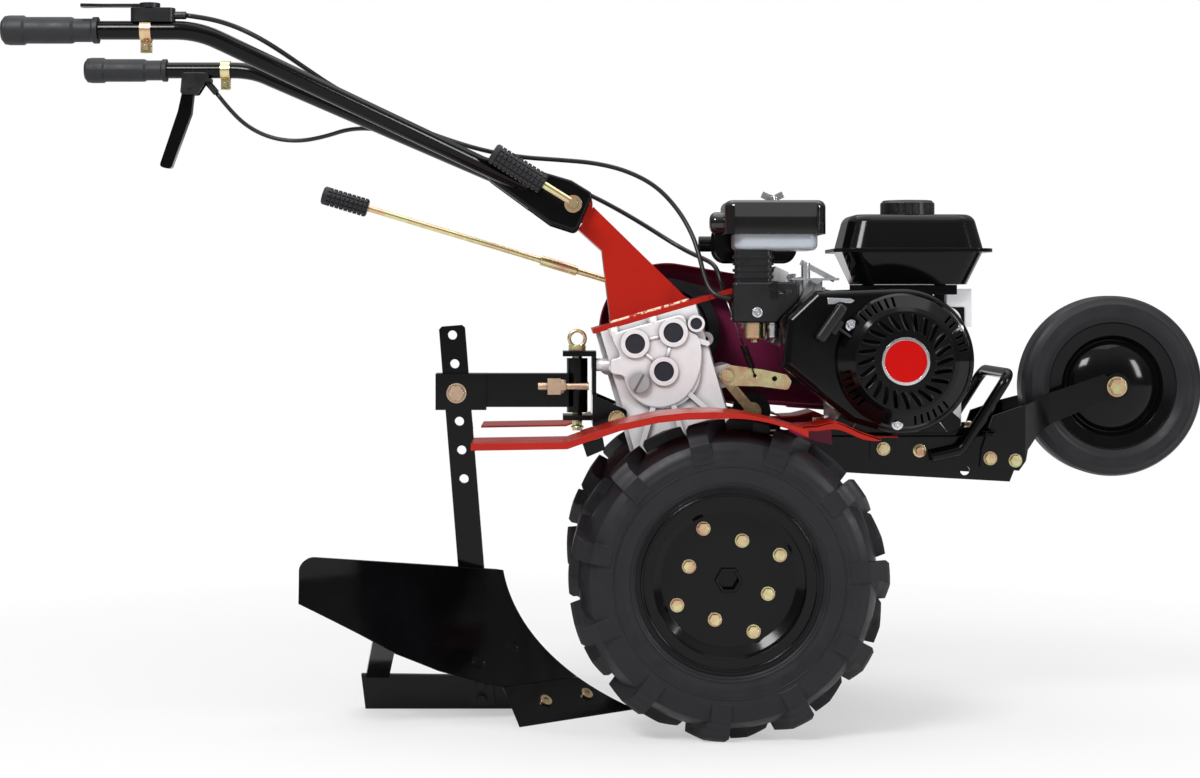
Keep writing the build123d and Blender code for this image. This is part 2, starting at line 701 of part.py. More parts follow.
def handle_shell():
    """The right half of the pressed clamp that holds the handlebar tubes to the post."""
    side = rounded(
        9.0,
        (PIVOT_X - 119.0, PIVOT_Z + 36.0),
        (PIVOT_X - 32.0, PIVOT_Z - 28.0),
        (PIVOT_X + 5.0, PIVOT_Z - 40.0),
        (PIVOT_X + 29.0, PIVOT_Z + 14.0),
        (PIVOT_X - 2.0, PIVOT_Z + 33.0),
        (PIVOT_X - 36.0, PIVOT_Z + 43.0),
        (PIVOT_X - 113.0, PIVOT_Z + 64.0),
    )
    depth = 20.0
    cup = slab(side, -SHELL_OUTER_Y, -SHELL_OUTER_Y + depth)
    cup = fillet(cup.faces().sort_by(Axis.Y)[0].edges(), 5.0)
    cup = cup - slab(offset(side, -SHELL_T), -SHELL_OUTER_Y + SHELL_T, 0)
    room = bar_y(PIVOT_X, PIVOT_Z, 62.0, -SHELL_OUTER_Y + SHELL_T, 0)
    hole = bar_y(PIVOT_X, PIVOT_Z, PIVOT_R + FIT, -2 * SHELL_OUTER_Y, 0)
    path = bar_path()
    socket = sweep(Plane(origin=path @ 0, z_dir=path % 0) * Circle(BAR_R + FIT), path=path)
    return cup - room - hole - socket


def handle_grip():
    """A rubber grip with a domed end, two waists and a collar."""
    length = GRIP_LENGTH
    profile = outline(
        (0, 0),
        (0, GRIP_R - 6.0),
        (4.0, GRIP_R - 1.0),
        (10.0, GRIP_R),
        (28.0, GRIP_R),
        (31.0, GRIP_R - 2.0),
        (length - 34.0, GRIP_R - 2.0),
        (length - 30.0, GRIP_R - 4.0),
        (length - 8.0, GRIP_R - 4.0),
        (length - 6.0, GRIP_R - 2.0),
        (length, GRIP_R - 2.0),
        (length, BAR_R + FIT),
        (7.0, BAR_R + FIT),
        (7.0, 0),
    )
    return Pos(GRIP_REAR_X, -BAR_HALF_SPAN, BAR_Z) * revolve(profile, Axis.X)


def band_clamp(x):
    """A bent strap round the right tube with its two ears and screw below."""
    ring = Rot(0, 90, 0) * (Cylinder(BAR_R + 2.0, 14.0) - Cylinder(BAR_R + FIT, 14.0))
    ears = Pos(0, 0, -BAR_R - 8.0) * Box(14.0, 6.0, 18.0)
    screw = Pos(0, 0, -BAR_R - 10.0) * Rot(90, 0, 0) * Cylinder(3.5, 16.0)
    tube = Rot(0, 90, 0) * Cylinder(BAR_R + FIT, 30.0)
    return Pos(x, -BAR_HALF_SPAN, BAR_Z) * (ring + ears + screw - tube)


def throttle_housing():
    """The throttle's perch on the right tube, with a snout for its cable."""
    seat_z = BAR_Z + BAR_R - 2.0
    body = Pos(THROTTLE_X + 4.0, -BAR_HALF_SPAN, seat_z + 9.0) * Box(56.0, 22.0, 18.0)
    body = fillet(body.edges().filter_by(Axis.Z), 8.0)
    mouth = Vector(THROTTLE_X + 30.0, -BAR_HALF_SPAN, seat_z + 9.0)
    snout = rod(mouth, mouth + Vector(16.0, 0, 0), 5.0)
    tube = Pos(THROTTLE_X, -BAR_HALF_SPAN, BAR_Z) * Rot(0, 90, 0) * Cylinder(BAR_R + FIT, 160.0)
    bore = Pos(THROTTLE_X, -BAR_HALF_SPAN, seat_z + 16.0) * Cylinder(3.0 + FIT, 14.0)
    band = Pos(THROTTLE_X - 4.5, -BAR_HALF_SPAN, BAR_Z) * Rot(0, 90, 0) * Cylinder(BAR_R + 2.0 + FIT, 14.4)
    return body + snout - tube - bore - band


def throttle_lever():
    """The thumb lever that turns flat on top of its perch."""
    base = BAR_Z + BAR_R + 16.0 + GAP
    dial = Pos(THROTTLE_X, -BAR_HALF_SPAN, base + 3.0) * Cylinder(13.0, 6.0)
    blade = extrude(
        Pos(THROTTLE_X, -BAR_HALF_SPAN, base + 1.0)
        * rounded(4.0, (4.0, -6.0), (4.0, 6.0), (-60.0, 5.0), (-88.0, 9.0), (-88.0, -9.0), (-60.0, -5.0)),
        amount=4.0,
    )
    pin = Pos(THROTTLE_X, -BAR_HALF_SPAN, base - 4.0) * Cylinder(3.0, 9.0)
    return dial + blade + pin


def clutch_bracket():
    """The clevis under the left tube that carries the clutch lever."""
    cheek = rounded(
        5.0,
        (CLUTCH_X - 13.0, CLUTCH_Z - 11.0),
        (CLUTCH_X + 13.0, CLUTCH_Z - 11.0),
        (CLUTCH_X + 34.0, BAR_Z - 4.0),
        (CLUTCH_X - 10.0, BAR_Z - 4.0),
    )
    middle = BAR_HALF_SPAN
    sides = slab(cheek, middle + 9.0, middle + 11.5) + slab(cheek, middle - 11.5, middle - 9.0)
    saddle = Pos(CLUTCH_X + 12.0, middle, BAR_Z - BAR_R - 3.0) * Box(42.0, 23.0, 5.0)
    mouth = Vector(CLUTCH_X + 26.0, middle, BAR_Z - BAR_R - 5.0)
    snout = rod(mouth, mouth + Vector(14.0, 0, -17.0), 5.0)
    tube = Pos(CLUTCH_X, middle, BAR_Z) * Rot(0, 90, 0) * Cylinder(BAR_R + FIT, 200.0)
    pin = bar_y(CLUTCH_X, CLUTCH_Z, 3.0, middle - 13.0, middle + 13.0)
    return sides + saddle + snout + pin - tube


def clutch_lever():
    """The pressed channel lever that hangs below the left grip."""
    middle = BAR_HALF_SPAN
    tip_x = CLUTCH_X - 36.0
    tip_z = CLUTCH_Z - 122.0
    side = rounded(
        5.0,
        (CLUTCH_X - 8.0, CLUTCH_Z + 5.0),
        (CLUTCH_X + 8.0, CLUTCH_Z + 4.0),
        (CLUTCH_X + 3.0, CLUTCH_Z - 40.0),
        (tip_x + 9.0, tip_z),
        (tip_x - 9.0, tip_z + 3.0),
        (CLUTCH_X - 17.0, CLUTCH_Z - 36.0),
    )
    hollow = Pos(-3.0, 0, 0) * slab(side, middle - 6.0, middle + 6.0)
    bore = bar_y(CLUTCH_X, CLUTCH_Z, 3.0 + FIT, middle - 20.0, middle + 20.0)
    return slab(side, middle - 8.0, middle + 8.0) - hollow - bore


def clamp_lever():
    """The clamp's cross stud with its bent hand rod, washer and far nut."""
    stud = bar_y(PIVOT_X, PIVOT_Z, PIVOT_R, LEVER_Y - 6.0, SHELL_OUTER_Y + 12.0)
    washer = bar_y(PIVOT_X, PIVOT_Z, 12.0, -SHELL_OUTER_Y - 5.0, -SHELL_OUTER_Y - GAP)
    nut = facing(PIVOT_X, SHELL_OUTER_Y + 10.0, PIVOT_Z) * hex_prism(19.0, 10.0 - GAP)
    hand = rod((PIVOT_X, LEVER_Y, PIVOT_Z), (PIVOT_X - 100.0, LEVER_Y, PIVOT_Z + 62.5), 5.0)
    return stud + washer + nut + hand


def lever_sleeve(start, end, radius, bore):
    """A moulded hand sleeve on a rod, its skin cut by rings and lengthwise slots into rows of knobs."""
    axis = Vector(*end) - Vector(*start)
    length = axis.length
    bottom = (Align.CENTER, Align.CENTER, Align.MIN)
    body = Cylinder(radius, length, align=bottom)
    body = chamfer(body.edges().filter_by(GeomType.CIRCLE), KNOB_DEPTH)
    band = Cylinder(radius + 1.0, KNOB_GAP) - Cylinder(radius - KNOB_DEPTH, KNOB_GAP)
    rows = int((length - KNOB_PITCH) / KNOB_PITCH)
    rings = [Pos(0, 0, KNOB_PITCH * (i + 1)) * band for i in range(rows)]
    cut = Pos(radius, 0, length / 2 - KNOB_PITCH) * Box(2 * KNOB_DEPTH, KNOB_GAP, length - KNOB_GAP)
    slots = [Rot(0, 0, 360.0 / KNOB_COUNT * i) * cut for i in range(KNOB_COUNT)]
    inside = Cylinder(bore, length - SLEEVE_END, align=bottom)
    return Plane(origin=Vector(*start), z_dir=axis) * (body - rings - slots - inside)


def shift_point(back):
    """A point on the gear lever's rod, measured back from its front end."""
    x = SHIFT_END[0] - back * cos(radians(SHIFT_SLOPE))
    return (x, SHIFT_Y, SHIFT_END[2] + back * sin(radians(SHIFT_SLOPE)))


def gear_lever():
    """The gear lever: a long rod in two lengths joined by a pinned sleeve."""
    return rod(shift_point(0), shift_point(503.0), SHIFT_R) + rod(shift_point(137.0), shift_point(190.0), 7.0)


def selector_guide():
    """The guide block on the top plate through which the gear lever slides."""
    top = CASE_TOP + PLATE_T
    block = CASE * (Pos(6.0, SHIFT_Y, top + 20.0) * Box(34.0, 22.0, 40.0))
    foot = CASE * (Pos(6.0, SHIFT_Y + 2.0, top + 3.0) * Box(60.0, 24.0, 6.0))
    return block + foot - rod(shift_point(-60.0), shift_point(90.0), SHIFT_R + FIT)


def handles(nodes):
    """The post, the handlebar with its clamp, and all the hand controls."""
    nodes["handle_post"] = [handle_post(), selector_guide()]
    sides = [handle_tube(), handle_shell()]
    nodes["handlebar"] = sides + [mirrored(each) for each in sides]
    nodes["handle_grips"] = [handle_grip(), mirrored(handle_grip())]
    nodes["control_clamps"] = [band_clamp(THROTTLE_X - 4.5), mirrored(band_clamp(CLUTCH_X + 54.0))]
    nodes["throttle_lever"] = throttle_lever()
    nodes["control_housings"] = [throttle_housing(), clutch_bracket()]
    nodes["clutch_lever"] = clutch_lever()
    nodes["clamp_lever"] = clamp_lever()
    start = (PIVOT_X - 40.0, LEVER_Y, PIVOT_Z + 25.0)
    end = (PIVOT_X - 109.0, LEVER_Y, PIVOT_Z + 68.1)
    nodes["clamp_lever_grip"] = lever_sleeve(start, end, 14.5, 5.0 + FIT)
    nodes["gear_lever"] = gear_lever()
    nodes["gear_lever_grip"] = lever_sleeve(shift_point(445.0), shift_point(511.0), 13.0, SHIFT_R + FIT)


def block_side():
    """The crankcase seen from the side."""
    return rounded(
        18.0,
        (CRANK_X - 80.0, ENGINE_BASE_Z + 4.0),
        (CRANK_X + 90.0, ENGINE_BASE_Z + 4.0),
        (CRANK_X + 90.0, CRANK_Z + 66.0),
        (CRANK_X + 14.0, CRANK_Z + 90.0),
        (CRANK_X - 80.0, CRANK_Z + 72.0),
    )


def crankcase():
    """The engine block: crankcase, foot, finned barrel leaning back, and finned head."""
    near = ENGINE_NEAR_Y
    far = ENGINE_FAR_Y
    side = block_side()
    block = slab(side, near, far)
    foot = Pos(CRANK_X + 5.0, (near + far) / 2, ENGINE_BASE_Z + 6.0) * Box(216.0, 140.0, 12.0)
    barrel = CYLINDER * (Pos(0, 0, 120.0) * Cylinder(BORE_R + 8.0, 130.0))
    fins = [CYLINDER * (Pos(0, 0, 104.0 + FIN_PITCH * i) * Box(98.0, 104.0, FIN_T)) for i in range(FIN_COUNT)]
    head_z = 104.0 + FIN_PITCH * FIN_COUNT
    head = CYLINDER * (Pos(0, 0, head_z + 8.0) * Box(94.0, 104.0, 20.0))
    head_fin = Pos(0, -42.0, head_z + 26.0) * Box(84.0, FIN_T, 20.0)
    head_fins = [CYLINDER * (Pos(0, 14.0 * i, 0) * head_fin) for i in range(FIN_COUNT)]
    lug = Pos(TANK_LUG_X, near + 22.0, CRANK_Z + 70.0) * Box(34.0, 18.0, 52.0)
    post = Pos(GOVERNOR_X, -HEAD_HALF_Y + 8.0, GOVERNOR_Z - 14.0) * Box(26.0, 14.0, 28.0)
    plate = Pos(GOVERNOR_X, -HEAD_HALF_Y - 8.0, GOVERNOR_Z) * Box(64.0, 46.0, 3.0)
    arm = Pos(GOVERNOR_X + 4.0, -HEAD_HALF_Y - 20.0, GOVERNOR_Z + 11.0) * Rot(0, 28, 0) * Box(52.0, 3.0, 7.0)
    boss = Pos(GOVERNOR_X - 12.0, -HEAD_HALF_Y - 18.0, GOVERNOR_Z + 11.0) * Cylinder(6.0, 22.0)
    governor = post + plate + arm + boss
    solid = block + foot + barrel + fins + head + head_fins + lug + governor
    sump = slab(offset(side, -8.0), near + 8.0, far - 8.0)
    bore = CYLINDER * (Pos(0, 0, 90.0) * Cylinder(BORE_R, 180.0))
    journal = bar_y(CRANK_X, CRANK_Z, CRANK_R + FIT, near - 1.0, far + 1.0)
    return solid - sump - bore - journal - frame_holes()


def crankshaft():
    """The crankshaft with its two webs and crank pin, and the belt pulley on its left end."""
    shaft = bar_y(CRANK_X, CRANK_Z, CRANK_R, RECOIL_BASE_Y + 6.0, BELT_Y + 16.0)
    webs = bar_y(CRANK_X, CRANK_Z, 39.0, -20.0, -8.0) + bar_y(CRANK_X, CRANK_Z, 39.0, 8.0, 20.0)
    throw = (CYLINDER * Pos(0, 0, CRANK_THROW)).position
    pin = bar_y(throw.X, throw.Z, 12.0, -10.0, 10.0)
    return shaft + webs + pin - bar_y(CRANK_X, CRANK_Z, CRANK_R + 1.0, -8.0, 8.0)


def flywheel():
    """The flywheel on the crankshaft's right end, with its ring of cooling vanes."""
    disc = bar_y(CRANK_X, CRANK_Z, 78.0, ENGINE_NEAR_Y - 40.0, ENGINE_NEAR_Y - 24.0)
    disc = disc - bar_y(CRANK_X, CRANK_Z, 70.0, ENGINE_NEAR_Y - 34.0, ENGINE_NEAR_Y)
    place = facing(CRANK_X, ENGINE_NEAR_Y - 40.0, CRANK_Z)
    vane = Pos(62.0, 0, 7.0) * Rot(0, 0, 25.0) * Box(28.0, 3.0, 16.0)
    vanes = [place * Rot(0, 0, 360.0 / 16 * i) * vane for i in range(16)]
    hub = bar_y(CRANK_X, CRANK_Z, 20.0, ENGINE_NEAR_Y - 40.0, ENGINE_NEAR_Y - 6.0)
    return disc + vanes + hub - bar_y(CRANK_X, CRANK_Z, CRANK_R + FIT, RECOIL_BASE_Y, 0)


def shroud_side():
    """The outline of the fan shroud: a disc round the crankshaft drawn out to the cylinder head."""
    corners = outline(
        (CRANK_X - 114.0, CRANK_Z + 93.0),
        (CRANK_X - 152.0, CRANK_Z + 57.0),
        (CRANK_X - 159.0, CRANK_Z - 7.0),
        (CRANK_X - 67.0, CRANK_Z - 82.0),
    )
    disc = Pos(CRANK_X, CRANK_Z) * Circle(RECOIL_R + 7.0)
    return make_hull(corners.edges() + disc.edges())


def fan_shroud():
    """The pressed shroud that leads cooling air from the fan to the cylinder."""
    side = shroud_side()
    shell = slab(side, RECOIL_BASE_Y, ENGINE_NEAR_Y)
    shell = fillet(shell.faces().sort_by(Axis.Y)[0].edges(), 10.0)
    room = slab(offset(side, -2.0), RECOIL_BASE_Y + 2.0, ENGINE_NEAR_Y + 1.0)
    room = fillet(room.faces().sort_by(Axis.Y)[0].edges(), 8.0)
    return shell - room - bar_y(CRANK_X, CRANK_Z, RECOIL_R - 18.0, RECOIL_BASE_Y - 1.0, 0)


def recoil_cover():
    """The pull starter's round cover: a shallow dome with slanting slots and slits for air."""
    dome = revolve(
        outline(
            (0, RECOIL_RISE - 3.0),
            (RECOIL_R - 25.0, RECOIL_RISE - 3.0),
            (RECOIL_R - 20.0, RECOIL_RISE - 6.0),
            (RECOIL_R - 5.5, 8.0),
            (RECOIL_R - 3.0, 3.0),
            (RECOIL_R - 3.0, 0),
            (RECOIL_R, 0),
            (RECOIL_R, 4.0),
            (RECOIL_R - 3.0, 9.0),
            (RECOIL_R - 18.0, RECOIL_RISE - 4.0),
            (RECOIL_R - 24.0, RECOIL_RISE),
            (0, RECOIL_RISE),
        ),
        Axis.Y,
    )
    dome = Rot(90, 0, 0) * dome
    slot = Pos(RECOIL_R - 38.0, 0, RECOIL_RISE - 3.0) * Rot(0, 0, 22.0) * Box(23.0, 4.6, 10.0)
    slots = [Rot(0, 0, 360.0 / VENT_COUNT * i) * slot for i in range(VENT_COUNT)]
    slit = Pos(RECOIL_R - 12.0, 0, 14.0) * Rot(0, 50, 0) * Box(17.0, 3.2, 14.0)
    slits = [Rot(0, 0, 90.0 * g + 10.5 + 6.6 * i) * slit for g in range(4) for i in range(6)]
    tongues = [Rot(0, 0, a) * (Pos(RECOIL_R - 6.0, 0, 2.5) * Cylinder(8.0, 5.0)) for a in RECOIL_SCREWS]
    place = facing(CRANK_X, RECOIL_BASE_Y - GAP, CRANK_Z)
    rope_way = rope_line(-10.0, 46.0, ROPE_R + 1.5)
    return place * (dome + tongues - slots - slits) - rope_way


def rope_line(start, end, radius):
    """A length of the starter rope's line, measured inwards from the grip."""
    way = Vector(sin(radians(ROPE_TILT)), 0, -cos(radians(ROPE_TILT)))
    here = Vector(*GRIP_PLACE)
    first = here + way * start
    last = here + way * end
    return rod((first.X, first.Y, first.Z), (last.X, last.Y, last.Z), radius)


def recoil_badge():
    """The plain red disc in its raised ring at the centre of the starter cover."""
    disc = Cylinder(28.0, 3.0) + (Cylinder(31.6, 4.0) - Cylinder(28.0, 4.0))
    return facing(CRANK_X, RECOIL_BASE_Y - GAP - RECOIL_RISE - 2.0, CRANK_Z) * disc


def starter_grip():
    """The pull starter's T grip."""
    bar = fillet(Box(58.0, 15.0, 20.0).edges(), 5.0)
    waist = Pos(0, -9.0, 0) * Box(20.0, 8.0, 14.0)
    bar = bar + waist
    grip = Pos(*GRIP_PLACE) * Rot(90, 0, 0) * Rot(0, 0, ROPE_TILT) * bar
    return grip - rope_line(-4.0, 20.0, ROPE_R + FIT)


def fuel_tank():
    """The fuel tank: an upper and a lower pressing joined at a flange, with a filler neck."""
    def pan(width, depth, end_width, end_depth, height):
        wide = RectangleRounded(width, depth, 30.0)
        narrow = Pos(0, 0, height) * RectangleRounded(end_width, end_depth, 30.0)
        return loft([wide, narrow])
    place = Pos(TANK_X, TANK_Y, TANK_Z)
    step = 22.0
    upper = pan(TANK_L - step, TANK_D - step, TANK_L - 46.0, TANK_D - 44.0, 49.0)
    upper = fillet(upper.faces().sort_by(Axis.Z)[-1].edges(), 15.0)
    lower = pan(TANK_L - step, TANK_D - step, TANK_L - 62.0, TANK_D - 55.0, -46.0)
    hollow = pan(TANK_L - step - 4.0, TANK_D - step - 4.0, TANK_L - 66.0, TANK_D - 62.0, 46.0)
    hollow_low = pan(TANK_L - step - 3.0, TANK_D - step - 3.0, TANK_L - 65.0, TANK_D - 58.0, -44.5)
    flange = extrude(RectangleRounded(TANK_L, TANK_D, 36.0), amount=2.5, both=True)
    neck = Pos(0, 0, 52.0) * Cylinder(CAP_R - 8.0, 16.0)
    mouth = Pos(0, 0, 50.0) * Cylinder(CAP_R - 11.0, 30.0)
    solid = upper + lower + flange + neck - hollow - hollow_low - mouth
    legs = [Pos(x, 30.0, -66.0) * Box(16.0, 3.0, 56.0) for x in (-50.0, 50.0)]
    return place * (solid + legs) - slab(block_side(), ENGINE_NEAR_Y, ENGINE_FAR_Y)


def fuel_cap():
    """The ribbed fuel cap over the filler neck."""
    cap = Pos(0, 0, 10.0) * Cylinder(CAP_R, 20.0)
    cap = chamfer(cap.faces().sort_by(Axis.Z)[-1].edges(), 4.0)
    groove = Pos(CAP_R, 0, 8.0) * Cylinder(1.6, 14.0)
    cap = cap - [Rot(0, 0, 15.0 * i) * groove for i in range(24)]
    cap = cap - Pos(0, 0, 6.0) * Cylinder(CAP_R - 8.0 + FIT, 12.0)
    return Pos(TANK_X + 1.5, TANK_Y, TANK_Z + 49.0 + GAP) * (Pos(-1.5, 0, 0) * cap)


def air_filter_cover():
    """The air filter's lid, dished on its front face, with a round intake knob on its rear side."""
    lid = extrude(RectangleRounded(FILTER_L, FILTER_D, 16.0), amount=FILTER_H)
    lid = fillet(lid.faces().sort_by(Axis.Z)[-1].edges(), 10.0)
    dish = Pos(0, -FILTER_D / 2 - 56.0, FILTER_H / 2 - 2.0) * Rot(0, 90, 0) * Cylinder(62.0, FILTER_L - 26.0)
    hollow = extrude(RectangleRounded(FILTER_L - 6.0, FILTER_D - 18.0, 13.0), amount=FILTER_H - 4.0)
    knob = Pos(-FILTER_L / 2 - 6.0, -4.0, 16.0) * Rot(0, 90, 0) * Cylinder(15.0, 24.0)
    knob = fillet(knob.edges().group_by(Axis.X)[0], 9.0)
    stud = Pos(0, 0, FILTER_H - 8.0) * Cylinder(3.0 + FIT, 20.0)
    return Pos(FILTER_X, FILTER_Y, FILTER_Z) * (lid + knob - dish - hollow - stud)


def air_filter_bowl():
    """The clear bowl below the air filter's lid, with the stud that holds the lid."""
    bowl = extrude(RectangleRounded(FILTER_L - 24.0, FILTER_D - 20.0, 14.0), amount=BOWL_H)
    bowl = fillet(bowl.faces().sort_by(Axis.Z)[0].edges(), 8.0)
    room = extrude(RectangleRounded(FILTER_L - 30.0, FILTER_D - 26.0, 11.0), amount=BOWL_H)
    return Pos(FILTER_X + 2.0, FILTER_Y, FILTER_Z - BOWL_H) * (bowl - Pos(0, 0, 3.0) * room)


def air_filter_stud():
    """The filter's long stud with its wing nut on top of the lid."""
    stud = Pos(0, 0, (FILTER_H + BOWL_H + 6.0) / 2) * Cylinder(3.0, FILTER_H + BOWL_H + 6.0)
    nut = Pos(0, 0, BOWL_H + FILTER_H + 3.2) * Cylinder(6.0, 6.0)
    wing = Pos(9.0, 0, BOWL_H + FILTER_H + 7.0) * Rot(0, -25, 0) * Box(12.0, 3.0, 9.0)
    wing_nut = Pos(0, 0, -3.0) * (nut + wing + Rot(0, 0, 180) * wing)
    return Pos(FILTER_X, FILTER_Y, FILTER_Z - BOWL_H + 3.0) * (stud + wing_nut)


def intake_duct():
    """The ribbed duct from the filter down to the carburettor, with the carburettor's front panel."""
    top = FILTER_Z - BOWL_H
    low = PANEL_Z + 27.5
    height = top - low
    duct = Pos(NECK_X, NECK_Y, low) * extrude(RectangleRounded(50.0, 24.0, 8.0), amount=height)
    rib = extrude(RectangleRounded(55.0, 27.0, 9.0), amount=4.0)
    ribs = [Pos(NECK_X, NECK_Y, low + 5.0 + 9.0 * i) * rib for i in range(4)]
    way = Pos(NECK_X, NECK_Y, low) * extrude(RectangleRounded(44.0, 18.0, 6.0), amount=height, both=True)
    side = rounded(
        5.0,
        (PANEL_X - 44.5, PANEL_Z - 27.5),
        (PANEL_X + 14.0, PANEL_Z - 27.5),
        (PANEL_X + 44.5, PANEL_Z + 3.0),
        (PANEL_X + 44.5, PANEL_Z + 27.5),
        (PANEL_X - 44.5, PANEL_Z + 27.5),
    )
    panel = slab(side, PANEL_NEAR_Y, PANEL_NEAR_Y + 34.0)
    panel = fillet(panel.faces().sort_by(Axis.Y)[0].edges(), 4.0)
    room = slab(offset(side, -3.0), PANEL_NEAR_Y + 4.5, PANEL_NEAR_Y + 40.0)
    slot = facing(CHOKE_X, PANEL_NEAR_Y, PANEL_Z + 14.0) * Box(30.0, 5.0, 10.0)
    bowl_way = Pos(NECK_X + 1.5, PANEL_NEAR_Y + 19.0, PANEL_Z - 27.0) * Cylinder(16.0, 12.0)
    cup_way = Pos(NECK_X + CUP_X, PANEL_NEAR_Y + 19.0, PANEL_Z - 27.0) * Cylinder(CUP_R + 3.0, 50.0)
    return duct + ribs + panel - way - room - slot - bowl_way - cup_way


def carburettor():
    """The carburettor: barrel, float bowl and the short intake to the cylinder head."""
    y = PANEL_NEAR_Y + 19.0
    barrel = rod((NECK_X - 16.0, y, PANEL_Z), (NECK_X + 34.0, y, PANEL_Z), 12.0)
    bowl = Pos(NECK_X + 1.5, y, PANEL_Z - 30.0) * Cylinder(14.5, 40.0)
    bowl = fillet(bowl.faces().sort_by(Axis.Z)[0].edges(), 4.0)
    nut = Pos(NECK_X + 1.5, y, PANEL_Z - 54.0) * hex_prism(9.0, 6.0)
    intake = rod((NECK_X + 22.0, y, PANEL_Z), (NECK_X + 22.0, -HEAD_HALF_Y, PANEL_Z), 11.0)
    cup = Pos(NECK_X + CUP_X, y, PANEL_Z - 27.0) * Cylinder(CUP_R, 44.0)
    cup = fillet(cup.faces().sort_by(Axis.Z)[0].edges(), 3.0)
    collar = Pos(NECK_X + CUP_X, y, PANEL_Z - 33.0) * Cylinder(CUP_R + 1.5, 5.0)
    return barrel + bowl + nut + intake + cup + collar


def choke_lever():
    """The small plated choke lever that slides along its slot."""
    tab = facing(CHOKE_X - 9.0, PANEL_NEAR_Y - GAP, PANEL_Z + 14.0) * Pos(0, 3.0, 1.0) * Box(9.0, 24.0, 2.0)
    neck = facing(CHOKE_X - 9.0, PANEL_NEAR_Y + 2.0, PANEL_Z + 14.0) * Box(7.0, 3.6, 6.0)
    knob = facing(CHOKE_X - 9.0, PANEL_NEAR_Y - GAP - 5.0, PANEL_Z + 22.0) * Cylinder(6.0, 8.0)
    return tab + neck + knob


def muffler():
    """The exhaust silencer over the far side of the head: a folded box with its pipe and outlet."""
    place = Pos(MUFFLER_X, MUFFLER_Y, MUFFLER_Z)
    box = fillet(Box(114.0, 76.0, 50.0).edges().filter_by(Axis.Y), 16.0)
    seam = fillet(Box(120.0, 4.0, 56.0).edges().filter_by(Axis.Y), 19.0)
    hollow = fillet(Box(108.0, 70.0, 44.0).edges().filter_by(Axis.Y), 13.0)
    pipe_y = HEAD_HALF_Y + 18.0
    low = MUFFLER_Z - 24.0
    pipe = rod((EXHAUST_X, pipe_y, low), (EXHAUST_X, pipe_y, EXHAUST_Z), 11.0)
    pipe = pipe + Pos(EXHAUST_X, pipe_y, EXHAUST_Z) * Sphere(11.0)
    pipe = pipe + bar_y(EXHAUST_X, EXHAUST_Z, 11.0, HEAD_HALF_Y, pipe_y)
    mouth = Vector(MUFFLER_X - 50.0, MUFFLER_Y + 20.0, MUFFLER_Z)
    outlet = rod(mouth, mouth + Vector(-26.0, 0, 0), 11.0)
    way = rod(mouth + Vector(10.0, 0, 0), mouth + Vector(-30.0, 0, 0), 9.0)
    return place * (box + seam - hollow) + pipe + outlet - way


def engine(nodes):
    """The single-cylinder engine with its starter, tank, filter and silencer."""
    nodes["crankcase"] = crankcase()
    nodes["crankshaft"] = [crankshaft(), flywheel()]
    nodes["fan_shroud"] = fan_shroud()
    nodes["recoil_cover"] = recoil_cover()
    nodes["recoil_badge"] = recoil_badge()
    nodes["starter_grip"] = starter_grip()
    nodes["starter_rope"] = rope_line(-4.0, ROPE_LENGTH, ROPE_R)
    nodes["fuel_tank"] = fuel_tank()
    nodes["fuel_cap"] = fuel_cap()
    nodes["air_filter_cover"] = air_filter_cover()
    nodes["air_filter_bowl"] = air_filter_bowl()
    nodes["intake_duct"] = intake_duct()
    nodes["carburettor"] = carburettor()
    nodes["choke_lever"] = choke_lever()
    nodes["muffler"] = muffler()


def pulley(radius, bore):
    """A V-belt pulley about the Y axis, centred on the belt's plane, with a thin web."""
    half = BELT_W / 2 + 5.0
    profile = outline(
        (bore, -half - 2.0),
        (bore + 9.0, -half - 2.0),
        (bore + 9.0, -4.0),
        (radius - 18.0, -4.0),
        (radius - 15.0, -half),
        (radius, -half),
        (radius, -BELT_W / 2 - 2.0),
        (radius - 11.0, -BELT_W / 2 - GAP),
        (radius - 11.0, BELT_W / 2 + GAP),
        (radius, BELT_W / 2 + 2.0),
        (radius, half),
        (radius - 15.0, half),
        (radius - 18.0, 4.0),
        (bore + 9.0, 4.0),
        (bore + 9.0, half + 2.0),
        (bore, half + 2.0),
    )
    return turned(profile)


def belt_ends():
    """Where the belt's two pulleys sit in the side view, with the radius of each."""
    gear_end = case_point(SHAFT_B)
    return (gear_end.X, gear_end.Z), GEAR_PULLEY_R, (CRANK_X, CRANK_Z), ENGINE_PULLEY_R


def drive_belt():
    """The slack V belt round both pulleys."""
    start, start_r, end, end_r = belt_ends()
    outer = loop_sketch(start, start_r - 1.0, end, end_r - 1.0)
    inner = loop_sketch(start, start_r - 10.0, end, end_r - 10.0)
    return slab(outer - inner, BELT_Y - BELT_W / 2, BELT_Y + BELT_W / 2)


def idler_place():
    """The idler's centre below the belt's lower run, clear of it while the clutch is let out."""
    start, start_r, end, end_r = belt_ends()
    share = (IDLER_X - start[0]) / (end[0] - start[0])
    low_start = start[1] - start_r + 1.0
    low_end = end[1] - end_r + 1.0
    return IDLER_X, low_start + share * (low_end - low_start) - IDLER_R - IDLER_DROP


